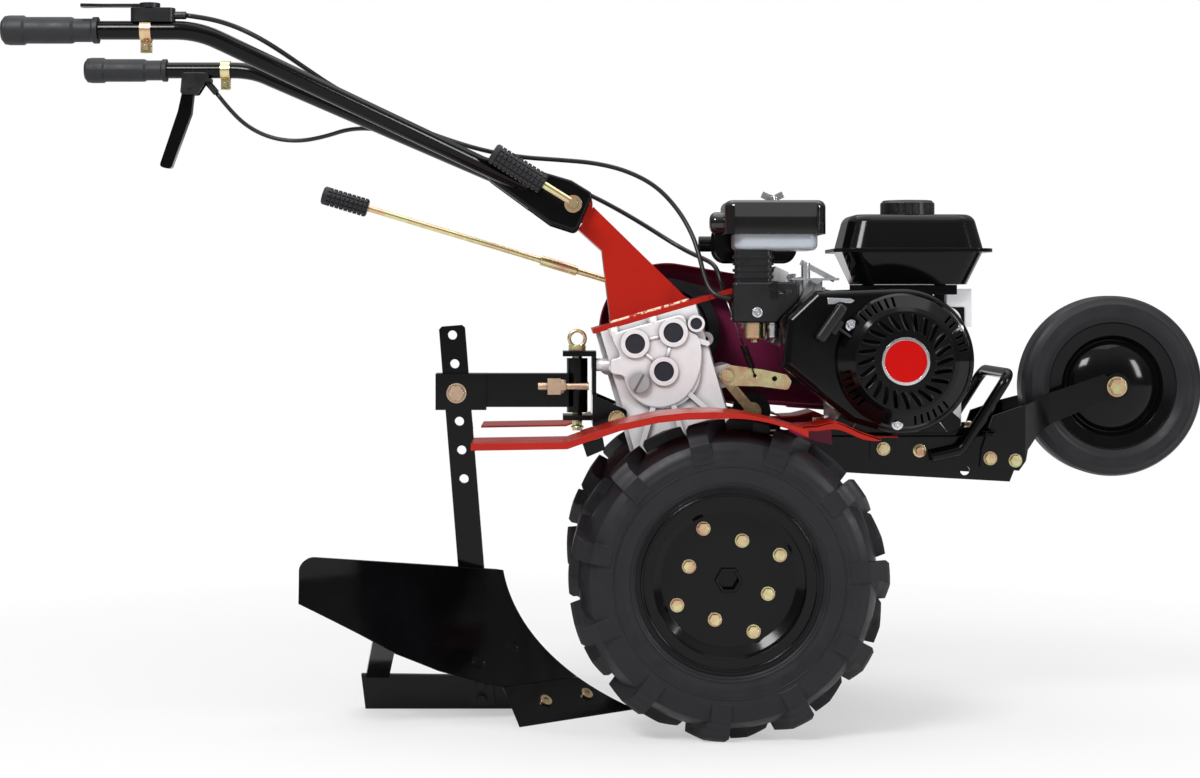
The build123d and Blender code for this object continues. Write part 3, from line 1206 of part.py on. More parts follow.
def tension_arm():
    """The belt tensioner: near plate, cross shaft and far arm with the idler's stud."""
    x, z = idler_place()
    near = rounded(
        5.0,
        (TENSION_X + 4.0, TENSION_Z + 14.0),
        (TENSION_X + 49.0, TENSION_Z + 8.0),
        (TENSION_X + 81.0, TENSION_Z + 1.0),
        (TENSION_X + 88.0, TENSION_Z - 8.0),
        (TENSION_X + 83.0, TENSION_Z - 20.0),
        (TENSION_X + 44.0, TENSION_Z - 15.0),
        (TENSION_X - 2.0, TENSION_Z - 14.0),
        (TENSION_X - 13.0, TENSION_Z),
    )
    plate = slab(near, TENSION_Y - 2.0, TENSION_Y + 2.0)
    shaft = bar_y(TENSION_X, TENSION_Z, 8.0, TENSION_Y - 8.0, BELT_Y - 10.0)
    reach = outline((TENSION_X - 9.0, TENSION_Z), (TENSION_X + 9.0, TENSION_Z), (x + 9.0, z), (x - 9.0, z))
    arm = slab(reach, BELT_Y - 18.0, BELT_Y - 12.0)
    near, far = BELT_Y - 18.0, BELT_Y - 12.0
    ends = bar_y(TENSION_X, TENSION_Z, 13.0, near, far) + bar_y(x, z, 13.0, near, far)
    stud = bar_y(x, z, 6.0, BELT_Y - 15.0, BELT_Y + 14.0)
    eye = bar_y(SPRING_EYE[0], SPRING_EYE[1], 2.6, TENSION_Y - 5.0, TENSION_Y + 5.0)
    spare = bar_y(SPRING_EYE[0] + 27.0, SPRING_EYE[1] - 4.0, 3.5, TENSION_Y - 5.0, TENSION_Y + 5.0)
    return plate + shaft + arm + ends + stud - eye - spare


def idler():
    """The flat idler that presses the belt's lower run."""
    x, z = idler_place()
    half = BELT_W / 2 + 2.0
    profile = outline(
        (6.0 + FIT, -half),
        (IDLER_R + 3.0, -half),
        (IDLER_R + 3.0, -half + 2.0 - FIT),
        (IDLER_R, -half + 2.0 - FIT),
        (IDLER_R, half - 2.0 + FIT),
        (IDLER_R + 3.0, half - 2.0 + FIT),
        (IDLER_R + 3.0, half),
        (6.0 + FIT, half),
    )
    return Pos(x, BELT_Y, z) * turned(profile)


def belt_guard():
    """The deep pressed cover over the belt, open towards the machine, with its two stays."""
    start, start_r, end, end_r = belt_ends()
    side = loop_sketch(start, start_r + 22.0, end, end_r + 40.0)
    near = BELT_Y - 14.0
    far = BELT_Y + 22.0
    cover = slab(side, near, far)
    cover = fillet(cover.faces().sort_by(Axis.Y)[-1].edges(), 12.0)
    room = slab(offset(side, -2.0), near - 1.0, far - 2.0)
    room = fillet(room.faces().sort_by(Axis.Y)[-1].edges(), 10.0)
    x, z = idler_place()
    mouth = outline((x - 60.0, z - 60.0), (x + 50.0, z - 60.0), (x + 50.0, z + 40.0), (x - 60.0, z + 40.0))
    guard = cover - room - slab(mouth, near - 1.0, BELT_Y + 14.0)
    rear = case_point((-56.0, 290.0))
    rear_stay = bar_y(rear.X, rear.Z, 6.0, CASE_DEPTH, far - 1.0)
    front_stay = bar_y(end[0] + 43.0, end[1] - 44.0, 8.0, ENGINE_FAR_Y, far - 1.0)
    return guard + rear_stay + front_stay


def belt_drive(nodes):
    """The slack-belt clutch between the engine and the gearbox."""
    start, start_r, end, end_r = belt_ends()
    gear_pulley = Pos(start[0], BELT_Y, start[1]) * pulley(start_r, SHAFT_R + FIT)
    engine_pulley = Pos(end[0], BELT_Y, end[1]) * pulley(end_r, CRANK_R + FIT)
    nodes["input_gear_shaft"].append(gear_pulley)
    nodes["crankshaft"].append(engine_pulley)
    nodes["drive_belt"] = drive_belt()
    nodes["tension_arm"] = tension_arm()
    nodes["idler_pulley"] = idler()
    nodes["belt_guard"] = belt_guard()


def frame_holes():
    """The bolt holes shared by the rails and the pieces bolted to them."""
    holes = [bar_y(x, z, 4.0 + FIT, -200.0, 200.0) for x, z in FORK_BOLTS + (FENDER_BOLT,)]
    for x in ENGINE_BOLT_X:
        for y in (-ENGINE_BOLT_Y, ENGINE_BOLT_Y):
            holes.append(Pos(x, y, ENGINE_BASE_Z) * Cylinder(4.0 + FIT, 60.0))
    return holes


def rail():
    """The right engine rail: an angle with a deep web and a flat top for the engine."""
    side = outline(
        (RAIL_REAR_X, RAIL_TOP_Z - 44.0),
        (RAIL_REAR_X, RAIL_TOP_Z),
        (RAIL_FRONT_X - 14.0, RAIL_TOP_Z),
        (RAIL_FRONT_X, RAIL_TOP_Z - 15.0),
        (RAIL_FRONT_X - 18.0, RAIL_TOP_Z - 61.0),
        (RAIL_FRONT_X - 200.0, RAIL_TOP_Z - 51.0),
        (RAIL_FRONT_X - 250.0, RAIL_TOP_Z - 48.0),
    )
    web = slab(side, -RAIL_Y - RAIL_T, -RAIL_Y)
    middle = (RAIL_REAR_X + RAIL_FRONT_X - 14.0) / 2
    length = RAIL_FRONT_X - 14.0 - RAIL_REAR_X
    top = Pos(middle, -RAIL_Y + RAIL_LEG / 2 - 2.0, RAIL_TOP_Z - RAIL_T / 2) * Box(length, RAIL_LEG, RAIL_T)
    hole = bar_y(RAIL_PIN[0], RAIL_PIN[1], PIN_HOLE_R, -RAIL_Y - 20.0, 0)
    return web + top - hole


def cross_plate(x, z, length, height):
    """A plate welded between the two rails."""
    return Pos(x, 0, z) * Box(length, 2 * RAIL_Y + 1.0, height)


def engine_frame():
    """The welded frame: two angle rails joined by cross plates, with a sloping plate to the gearcase."""
    joined = rail() + mirrored(rail())
    joined = joined + cross_plate(RAIL_FRONT_X - 30.0, RAIL_TOP_Z - 30.0, 6.0, 50.0)
    joined = joined + cross_plate(RAIL_FRONT_X - 200.0, RAIL_TOP_Z - 24.0, 6.0, 38.0)
    rear = CASE * (Pos(PAD_X + 3.0, 0, sum(PAD_Z) / 2) * Box(6.0, 2 * RAIL_Y + 1.0, 78.0))
    for z in PAD_Z:
        for y in (-PAD_Y, PAD_Y):
            rear = rear - CASE * rod((PAD_X - 5.0, y, z), (PAD_X + 10.0, y, z), 5.0 + FIT)
    return joined + rear - frame_holes()


def bumper():
    """The bent hoop before the engine: two legs bolted to the rails and a top cross tube."""
    y = RAIL_Y + RAIL_T + GAP + 5.0 + GAP + 7.5
    path = FilletPolyline(
        (RAIL_FRONT_X - 126.0, -y, RAIL_TOP_Z - 26.0),
        (RAIL_FRONT_X - 86.0, -y, RAIL_TOP_Z - 17.0),
        (RAIL_FRONT_X - 21.0, -y, RAIL_TOP_Z + 85.0),
        (RAIL_FRONT_X - 21.0, y, RAIL_TOP_Z + 85.0),
        (RAIL_FRONT_X - 86.0, y, RAIL_TOP_Z - 17.0),
        (RAIL_FRONT_X - 126.0, y, RAIL_TOP_Z - 26.0),
        radius=18.0,
    )
    return sweep(Plane(origin=path @ 0, z_dir=path % 0) * Circle(7.5), path=path)


def fork_strip():
    """The bent strip seen from above that gives each fork plate its joggle."""
    out = RAIL_Y + RAIL_T + GAP
    run_in = FRONT_WHEEL_W / 2 + 10.0
    t = 5.0
    return outline(
        (RAIL_FRONT_X - 70.0, -out),
        (RAIL_FRONT_X + 4.0, -out),
        (RAIL_FRONT_X + 46.0, -run_in),
        (FRONT_WHEEL_X + 40.0, -run_in),
        (FRONT_WHEEL_X + 40.0, -run_in - t),
        (RAIL_FRONT_X + 44.0, -run_in - t),
        (RAIL_FRONT_X + 2.0, -out - t),
        (RAIL_FRONT_X - 70.0, -out - t),
    )


def fork_plate():
    """The right fork plate, from the rail up to the front wheel's axle."""
    side = outline(
        (367.5, 412.0),
        (405.5, 425.0),
        (527.5, 467.0),
        (FRONT_WHEEL_X, FRONT_WHEEL_Z),
        (538.0, 434.0),
        (457.5, 401.0),
        (433.5, 387.0),
        (415.5, 366.0),
        (412.5, 352.0),
        (402.5, 338.0),
        (349.5, 343.0),
        (352.0, 368.0),
    )
    side = side + Pos(FRONT_WHEEL_X, FRONT_WHEEL_Z) * Circle(18.0)
    side = side - Pos(FRONT_WHEEL_X, FRONT_WHEEL_Z) * Circle(FRONT_AXLE_R + FIT)
    side = side - Pos(365.5, 391.0) * Circle(5.5)
    bent = extrude(Pos(0, 0, RAIL_TOP_Z - 100.0) * fork_strip(), amount=300.0)
    return (bent & slab(side, -140.0, 0)) - frame_holes()


def front_tyre():
    """The small solid front tyre with a shallow centre groove."""
    half = FRONT_WHEEL_W / 2
    ring = turned(
        outline(
            (FRONT_RIM_R, -half + 6.0),
            (FRONT_RIM_R + 10.0, -half),
            (FRONT_WHEEL_R - 12.0, -half),
            (FRONT_WHEEL_R - 3.0, -half + 7.0),
            (FRONT_WHEEL_R, -half + 15.0),
            (FRONT_WHEEL_R, half - 15.0),
            (FRONT_WHEEL_R - 3.0, half - 7.0),
            (FRONT_WHEEL_R - 12.0, half),
            (FRONT_RIM_R + 10.0, half),
            (FRONT_RIM_R, half - 6.0),
        )
    )
    wall = 8.0
    depth = FRONT_WHEEL_R - wall - FRONT_RIM_R
    room = turned(Pos(FRONT_RIM_R + depth / 2, 0) * RectangleRounded(depth + 4.0, 2 * half - 2 * wall, 6.0))
    seat = turned(Pos(FRONT_RIM_R / 2, 0) * Rectangle(FRONT_RIM_R, 2 * half))
    return Pos(FRONT_WHEEL_X, 0, FRONT_WHEEL_Z) * (ring - room - seat)


def front_disc():
    """The front wheel's two dished pressings, welded to a rim band and a hub tube."""
    half = FRONT_WHEEL_W / 2
    hub_r = 12.0
    sheet = 2.0
    dish = (
        (hub_r - 1.0, -half + 6.0),
        (46.0, -half + 9.0),
        (64.0, -half + 16.0),
        (70.0, -half + 8.0),
        (FRONT_RIM_R, -half + 7.0),
    )
    back = [(r, y + sheet) for r, y in reversed(dish)]
    pressing = turned(outline(*dish, *back))
    band = turned(Pos(FRONT_RIM_R - sheet / 2, 0) * Rectangle(sheet, 2 * half - 14.0))
    bore_r = FRONT_AXLE_R + FIT
    hub_tube = turned(Pos((hub_r + bore_r) / 2, 0) * Rectangle(hub_r - bore_r, 2 * half + 16.0))
    return Pos(FRONT_WHEEL_X, 0, FRONT_WHEEL_Z) * (pressing + mirrored(pressing) + band + hub_tube)


def strip_side(line, thickness):
    """A sheet seen on edge: the line as its top, thickened downwards."""
    under = [(x, z - thickness) for x, z in reversed(line)]
    return outline(*line, *under)


def fender():
    """The right wheel guard: a bent sheet with a turned-down outer lip and a narrower front strap."""
    sheet = slab(strip_side(FENDER_LINE, FENDER_SHEET), -FENDER_OUT_Y, -FENDER_IN_Y)
    lip = slab(strip_side(FENDER_LINE, FENDER_LIP), -FENDER_OUT_Y, -FENDER_OUT_Y + FENDER_SHEET)
    lug_path = bar_y(0, TYRE_R, TYRE_R + 4.0, -FENDER_OUT_Y - 1.0, 0)
    inner_y = -RAIL_Y - RAIL_T - GAP
    strap = slab(strip_side(STRAP_LINE, FENDER_SHEET), -FENDER_IN_Y - 30.0, inner_y)
    tab_x = (FENDER_BOLT[0] - 18.0 + FENDER_BOLT[0] + 16.0) / 2
    tab_top = STRAP_LINE[-1][1]
    tab = Pos(tab_x, inner_y - FENDER_SHEET / 2, tab_top - 16.0) * Box(34.0, FENDER_SHEET, 32.0)
    end = Pos(tab_x, inner_y - 14.0, tab_top - FENDER_SHEET / 2) * Box(34.0, 28.0, FENDER_SHEET)
    return sheet + lip + strap + tab + end - lug_path - frame_holes()


def chassis_bolts():
    """All the bolts of the frame: engine feet, fork plates, guards, bumper and the front axle."""
    out = RAIL_Y + RAIL_T + GAP
    made = []
    for x, z in FORK_BOLTS:
        made.append(bolt_y(x, z, -out - 5.0, -RAIL_Y, 8.0))
        made.append(mirrored(bolt_y(x, z, -out - 5.0, -RAIL_Y, 8.0)))
    made.append(bolt_y(FENDER_BOLT[0], FENDER_BOLT[1], -out - FENDER_SHEET, -RAIL_Y, 8.0))
    made.append(mirrored(bolt_y(FENDER_BOLT[0], FENDER_BOLT[1], -out - FENDER_SHEET, -RAIL_Y, 8.0)))
    for x in ENGINE_BOLT_X:
        for y in (-ENGINE_BOLT_Y, ENGINE_BOLT_Y):
            made.append(Pos(x, y, ENGINE_BASE_Z + 12.0) * bolt(8.0, 12.0 + RAIL_T))
    for z in PAD_Z:
        for y in (-PAD_Y, PAD_Y):
            head = Rot(0, 90, 0) * (Pos(0, 0, PAD_X + 6.0) * hex_prism(16.0, 7.0))
            shank = rod((CASE_HALF_W + 2.0, 0, 0), (PAD_X + 8.0, 0, 0), 5.0)
            made.append(CASE * Pos(0, y, z) * (head + shank))
    axle_y = FRONT_WHEEL_W / 2 + 15.0
    made.append(bolt_y(FRONT_WHEEL_X, FRONT_WHEEL_Z, -axle_y, axle_y, 2 * FRONT_AXLE_R))
    return made


def chassis(nodes):
    """The frame, the front wheel with its fork and the wheel guards."""
    nodes["engine_frame"] = engine_frame()
    nodes["front_bumper"] = bumper()
    nodes["fork_plates"] = [fork_plate(), mirrored(fork_plate())]
    nodes["front_tyre"] = front_tyre()
    nodes["front_wheel_disc"] = front_disc()
    nodes["fenders"] = [fender(), mirrored(fender())]
    nodes["chassis_bolts"] = chassis_bolts() + hitch_bolts() + [air_filter_stud()]


def hitch_bracket():
    """The hitch: a back plate with two arms for the pin, ears to the gearcase and two stand-offs."""
    back = HITCH_BACK_X
    low = HITCH_LOW_Z
    top = HITCH_TOP_Z
    t = HITCH_PLATE_T
    plate = Pos(back - BACK_T / 2, 0, (low + top) / 2) * Box(BACK_T, 68.0, top - low + 2 * t)
    wide = Pos(back - BACK_T / 2, 0, low + 9.0) * Box(BACK_T, 2 * (EAR_Y + EAR_T), 42.0)
    reach = HITCH_X - 20.0
    arm_x = (reach + back) / 2
    arms = [Pos(arm_x, 0, z) * Box(back - reach, 56.0, t) for z in (low - t / 2, top + t / 2)]
    lug = case_point(CASE_LUG)
    ear = rounded(
        6.0,
        (back - BACK_T, low + 30.0),
        (lug.X + 14.0, lug.Z + 12.0),
        (lug.X + 12.0, lug.Z - 12.0),
        (back - BACK_T, low - 12.0),
    )
    hole = bar_y(lug.X, lug.Z, 5.0 + FIT, -2 * EAR_Y, 2 * EAR_Y)
    ears = slab(ear, -EAR_Y - EAR_T, -EAR_Y) + slab(ear, EAR_Y, EAR_Y + EAR_T)
    body = CASE * slab(case_shape(0.0), -CASE_DEPTH, CASE_DEPTH)
    stud = rod((back - 1.0, 0, top - 12.0), (back + 60.0, 0, top - 12.0), 8.0)
    studs = [Pos(0, y, 0) * stud - body for y in (-25.0, 25.0)]
    studs = [each.solids().sort_by(Axis.X)[0] for each in studs]
    bore = Pos(HITCH_X, 0, (low + top) / 2) * Cylinder(HITCH_PIN_R + FIT, 200.0)
    return plate + wide + arms + ears + studs - hole - bore


def hitch_pin():
    """The hitch pin with its lifting ring and the spring clip below the lower arm."""
    low = HITCH_LOW_Z - HITCH_PLATE_T - 15.0
    top = HITCH_TOP_Z + HITCH_PLATE_T
    pin = Pos(HITCH_X, 0, (low + top) / 2 + 4.0) * Cylinder(HITCH_PIN_R, top - low + 8.0)
    head = Pos(HITCH_X, 0, top + 4.0) * Cylinder(HITCH_PIN_R + 5.0, 8.0 - GAP)
    ring = Pos(HITCH_X, 0, top + 17.0) * Rot(90, 0, 0) * Torus(11.0, 2.6)
    clip = Pos(HITCH_X, 0, low + 6.0) * Rot(90, 0, 0) * Cylinder(1.8, 40.0)
    loop = Pos(HITCH_X, -24.0, low + 6.0) * Torus(7.0, 1.8)
    return pin + head + ring + clip + loop


def hitch_bolts():
    """The bolts through the hitch's ears and the gearcase lugs."""
    lug = case_point(CASE_LUG)
    one = bolt_y(lug.X, lug.Z, -EAR_Y - EAR_T, -CASE_DEPTH + 22.0, 10.0)
    return [one, mirrored(one)]


def shank_hole(i):
    """How far down the shank each depth hole sits."""
    return 13.0 + HOLE_PITCH * i


def drawbar():
    """The drawbar: hitch sleeve, hollow beam, set-screw bar and the socket for the plough's shank."""
    middle = (HITCH_LOW_Z + HITCH_TOP_Z) / 2
    height = HITCH_TOP_Z - HITCH_LOW_Z - 6.0
    sleeve = Pos(HITCH_X, 0, middle) * Cylinder(HITCH_SLEEVE_R, height)
    pinned = (SHANK * Pos(0, 0, -shank_hole(PINNED_HOLE))).position
    socket_x = pinned.X + 6.0
    front = HITCH_X - HITCH_SLEEVE_R + 3.0
    rear = socket_x + SOCKET_L / 2 - 1.0
    beam = Pos((front + rear) / 2, 0, BEAM_Z) * (
        Box(front - rear, BEAM_W, BEAM_H)
        - Box(front - rear + 1.0, BEAM_W - 2 * BEAM_WALL, BEAM_H - 2 * BEAM_WALL)
    )
    socket = Pos(socket_x, 0, BEAM_Z - 2.0) * Box(SOCKET_L, 2 * SOCKET_HALF_Y, SOCKET_H)
    slot = SHANK * (Pos(0, 0, -150.0) * Box(SHANK_W + 2 * FIT, SHANK_T + 2 * FIT, 300.0))
    cross = bar_y(pinned.X, pinned.Z, HOLE_R, -60.0, 60.0)
    bar = Pos(HITCH_X - 32.0, 0, BEAM_Z + 6.0) * Box(18.0, 84.0, 22.0)
    bar = bar - Pos(HITCH_X - 32.0, 0, BEAM_Z) * Box(19.0, BEAM_W - 2 * BEAM_WALL, BEAM_H - 2 * BEAM_WALL)
    for y in (-34.0, 34.0):
        tail = (HITCH_X - 54.0, y, BEAM_Z + 6.0)
        bar = bar + rod(tail, (HITCH_BACK_X - BACK_T - 4.2, y, BEAM_Z + 6.0), 5.0)
        bar = bar + Pos(HITCH_X - 23.0, y, BEAM_Z + 6.0) * Rot(0, 90, 0) * hex_prism(16.0, 7.0)
    pin_way = Pos(HITCH_X, 0, middle) * Cylinder(HITCH_PIN_R + FIT, 200.0)
    return sleeve + beam + socket + bar - slot - cross - pin_way


def plough_shank():
    """The flat upright with its row of depth holes."""
    length = (SHANK_TOP_Z - 6.0) / cos(radians(SHANK_LEAN))
    bar = Pos(0, 0, -length / 2) * Box(SHANK_W, SHANK_T, length)
    bar = chamfer(bar.faces().sort_by(Axis.Z)[-1].edges().filter_by(Axis.Y), 4.0)
    hole = Rot(90, 0, 0) * Cylinder(HOLE_R, 2 * SHANK_T)
    holes = [Pos(0, 0, -shank_hole(i)) * hole for i in range(HOLE_COUNT)]
    foot = Rot(90, 0, 0) * Cylinder(FOOT_BOLT_R + FIT, 2 * SHANK_T)
    feet = [Pos(0, 0, -length + d) * foot for d in FOOT_BOLTS]
    return SHANK * (bar - holes - feet)


def share_run():
    """The share's cutting direction in plan, from the tip to the outer corner."""
    return Vector(SHARE_CORNER_X - SHARE_TIP_X, SHARE_CORNER_Y, 0).normalized()


def furrow_plane(along):
    """A plane square to the cutting edge: its x leads back over the land, its y is up."""
    run = share_run()
    return Plane(
        origin=Vector(SHARE_TIP_X, 0, 0) + run * along,
        x_dir=Vector(run.Y, -run.X, 0),
        z_dir=run * -1,
    )


def curved_shell(front, back, first, last):
    """A length of the plough's curved surface, between two depths behind its face."""
    entry = radians(BOARD_ENTRY)
    middle = Pos(-BOARD_R * sin(entry), BOARD_R * cos(entry))
    ring = middle * (Circle(BOARD_R + back) - Circle(BOARD_R + front))
    half = middle * (Pos(BOARD_R, 0) * Rectangle(2 * BOARD_R, 4 * BOARD_R))
    return extrude(furrow_plane(last) * (ring & half), amount=last - first)


def board_place(along, height):
    """A drawing plane on the plough's face, looking out from it."""
    entry = radians(BOARD_ENTRY)
    turn = acos(cos(entry) - height / BOARD_R)
    flat = furrow_plane(along)
    here = flat.from_local_coords(Vector(BOARD_R * (sin(turn) - sin(entry)), height, 0))
    out = flat.x_dir * -sin(turn) + Vector(0, 0, 1) * cos(turn)
    return Plane(origin=here, x_dir=share_run(), z_dir=out)


def sunk_head(grow):
    """The cone of a flush plough bolt, level with the plough's face."""
    return Pos(0, 0, -SUNK_DEPTH / 2) * Cone(4.2 + grow, SUNK_R + grow, SUNK_DEPTH)


def board_holes():
    """The bolt holes through the share, the mouldboard and the frog behind them."""
    plain = Cylinder(5.0 + FIT, 80.0)
    sunk = plain + sunk_head(FIT) + Pos(0, 0, 2.0) * Cylinder(SUNK_R + FIT, 4.0)
    holes = [board_place(s, z) * plain for s, z in SHARE_BOLTS]
    return holes + [board_place(s, z) * sunk for s, z in BOARD_BOLTS]


def board_side():
    """The mouldboard seen from its side, the two top corners rounded; its shin is left to the land side."""
    side = outline(
        (-290.0, 192.5),
        (-556.0, 236.5),
        (-556.0, 176.0),
        (-480.0, 129.0),
        (-436.0, 101.0),
        (-380.0, 74.0),
        (-314.0, 50.0),
        (-294.0, BOARD_SEAM_Z + GAP),
        (-150.0, BOARD_SEAM_Z + GAP),
    )
    return fillet(side.vertices().sort_by(Axis.Y)[-2:], BOARD_CORNER_R)


def mouldboard():
    """The curved mouldboard that turns the furrow over."""
    shell = curved_shell(0, BOARD_T, -60.0, 600.0)
    return (shell & slab(board_side(), -400.0, 2.0)) - board_holes()


def share_side():
    """The share seen from its side: a straight edge on the ground from corner to point."""
    return outline(
        (SHARE_CORNER_X, 0),
        (SHARE_CORNER_X - 24.0, BOARD_SEAM_Z),
        (SHARE_TIP_X - 56.0, BOARD_SEAM_Z),
        (SHARE_TIP_X + 10.0, 0),
    )


def share():
    """The share: the cutting edge with its point, bolted on below the mouldboard."""
    shell = curved_shell(0, SHARE_T, -60.0, 320.0)
    return (shell & slab(share_side(), -300.0, 2.0)) - board_holes()


def wing_stay():
    """The flat stay from the heel of the landside up to the back of the mouldboard's wing."""
    foot = Vector(*STAY_FOOT)
    way = Vector(*STAY_END) - foot
    flat = Plane(origin=foot, x_dir=(1, 0, 0), z_dir=way)
    stay = extrude(flat * Rectangle(STAY_W, STAY_T), amount=way.length)
    return stay - curved_shell(1.0 - BOARD_R, BOARD_T + GAP, -100.0, 700.0)


def frog_strip(first, last, low, high):
    """A length of the frog's curved backing between two heights, clear of the land side."""
    strip = curved_shell(SHARE_T, SHARE_T + FROG_T, first, last)
    return strip & Pos(-300.0, -71.0, (low + high) / 2) * Box(300.0, 140.0, high - low)


def landside():
    """The landside bar with the frog that carries share, mouldboard and shank."""
    bar_y0 = SHANK_T / 2
    bar_y1 = SHANK_T / 2 + LANDSIDE_T
    bar = slab(
        outline(
            (LANDSIDE_HEEL_X + 6.0, 0),
            (LANDSIDE_FRONT_X, 0),
            (LANDSIDE_FRONT_X + 30.0, LANDSIDE_H - 3.0),
            (LANDSIDE_HEEL_X, LANDSIDE_H),
        ),
        bar_y0,
        bar_y1,
    )
    plan = outline(
        (-210.0, bar_y0 + 2.0),
        (-308.0, bar_y0 + 2.0),
        (-320.0, -70.0),
        (-210.0, -110.0),
    )
    web = extrude(Pos(0, 0, FROG_WEB_Z) * plan, amount=8.0)
    web = web - curved_shell(1.0 - BOARD_R, SHARE_T + GAP, -100.0, 700.0)
    high = FROG_WEB_Z + 54.0
    strips = frog_strip(50.0, 180.0, 8.0, high) + frog_strip(179.0, 232.0, FROG_WEB_Z + 8.0, high)
    riser = Pos(-282.0, bar_y0 + 4.0, LANDSIDE_H + 6.0) * Box(56.0, 8.0, 30.0)
    length = (SHANK_TOP_Z - 6.0) / cos(radians(SHANK_LEAN))
    foot = Rot(90, 0, 0) * Cylinder(FOOT_BOLT_R + FIT, 80.0)
    feet = [SHANK * (Pos(0, 0, -length + d) * foot) for d in FOOT_BOLTS]
    return bar + web + strips + riser + wing_stay() - board_holes() - feet


def plough_bolts():
    """The plough's bolts and the depth pin through the drawbar's socket."""
    made = []
    grip = SHARE_T + FROG_T
    socket = Pos(0, 0, 1.6) * hex_prism(8.0, 4.0)
    stem = Pos(0, 0, -grip / 2 - 4.0) * Cylinder(5.0, grip + 8.0)
    nut = Pos(0, 0, -grip - 8.0) * hex_prism(16.0, 8.0)
    for s, z in SHARE_BOLTS:
        head = Pos(0, 0, 1.8) * Cylinder(8.5, 3.0) + Cylinder(5.0, 2.0)
        made.append(board_place(s, z) * (head + stem + nut - socket))
    for s, z in BOARD_BOLTS:
        made.append(board_place(s, z) * (Pos(0, 0, -GAP) * sunk_head(-GAP) + stem + nut))
    length = (SHANK_TOP_Z - 6.0) / cos(radians(SHANK_LEAN))
    for d in FOOT_BOLTS:
        place = (SHANK * Pos(0, 0, -length + d)).position
        made.append(bolt_y(place.X, place.Z, -SHANK_T / 2, SHANK_T / 2 + LANDSIDE_T, 2 * FOOT_BOLT_R))
    pinned = (SHANK * Pos(0, 0, -shank_hole(PINNED_HOLE))).position
    made.append(bolt_y(pinned.X, pinned.Z, -SOCKET_HALF_Y, SOCKET_HALF_Y, 12.0))
    return made


def hitch_and_plough(nodes):
    """The hitch behind the gearcase and the whole plough on its drawbar."""
    nodes["hitch_bracket"] = hitch_bracket()
    nodes["hitch_pin"] = hitch_pin()
    nodes["drawbar"] = drawbar()
    nodes["plough_shank"] = plough_shank()
    nodes["mouldboard"] = mouldboard()
    nodes["share"] = share()
    nodes["landside"] = landside()
    nodes["plough_bolts"] = plough_bolts()


def cord(points, radius):
    """A flexible round cord laid on straight runs joined by the widest arcs that fit."""
    spots = [Vector(*p) for p in points]
    radii = []
    for before, here, after in zip(spots, spots[1:], spots[2:]):
        run_in = here - before
        run_out = after - here
        turn = run_in.get_angle(run_out)
        radii.append(0.45 * min(run_in.length, run_out.length) / tan(radians(turn / 2)))
    path = FilletPolyline(*points, radius=radii)
    print("cord", round(path.length), "mm, tightest bend", round(min(radii), 1), "mm, radius", radius)
    return sweep(Plane(origin=path @ 0, z_dir=path % 0) * Circle(radius), path=path)


def beside_bar(side, *points):
    """Points beside the handlebar, their sideways places given as shares of its half span."""
    return [(x, side * share * BAR_HALF_SPAN, z) for x, share, z in points]


def throttle_cable():
    """The throttle cable, from the hand lever over the post to the carburettor's panel."""
    start_z = BAR_Z + BAR_R + 7.0
    return cord(
        (
            (THROTTLE_X + 46.4, -BAR_HALF_SPAN, start_z),
            *beside_bar(
                -1,
                (-668.0, 0.992, 929.0),
                (-637.0, 0.949, 921.0),
                (-609.0, 0.874, 909.0),
                (-583.0, 0.772, 894.0),
                (-556.0, 0.650, 876.0),
                (-519.0, 0.508, 852.0),
                (-475.0, 0.386, 829.0),
                (-428.0, 0.283, 808.0),
            ),
            (-378.0, -48.0, 790.0),
            (-326.0, -26.9, 775.0),
            (-272.0, -11.9, 766.0),
            (-218.0, -4.1, 763.0),
            (-168.0, -1.0, 759.0),
            (-124.0, -2.0, 748.0),
            (-84.0, -6.1, 727.0),
            (-54.0, -14.0, 694.0),
            (-35.0, -26.9, 659.0),
            (-26.0, -42.9, 627.0),
            (-21.0, -57.9, 601.0),
            (-14.0, -70.1, 582.0),
            (-1.0, -77.0, 572.0),
            (PANEL_X - 44.9, -78.0, 570.0),
        ),
        CABLE_R,
    )


def cable_anchor():
    """Where the clutch cable's sheath ends, in the tab of the top plate."""
    return case_point((CABLE_TAB_X, CASE_TOP + 2.0), CABLE_TAB_Y)


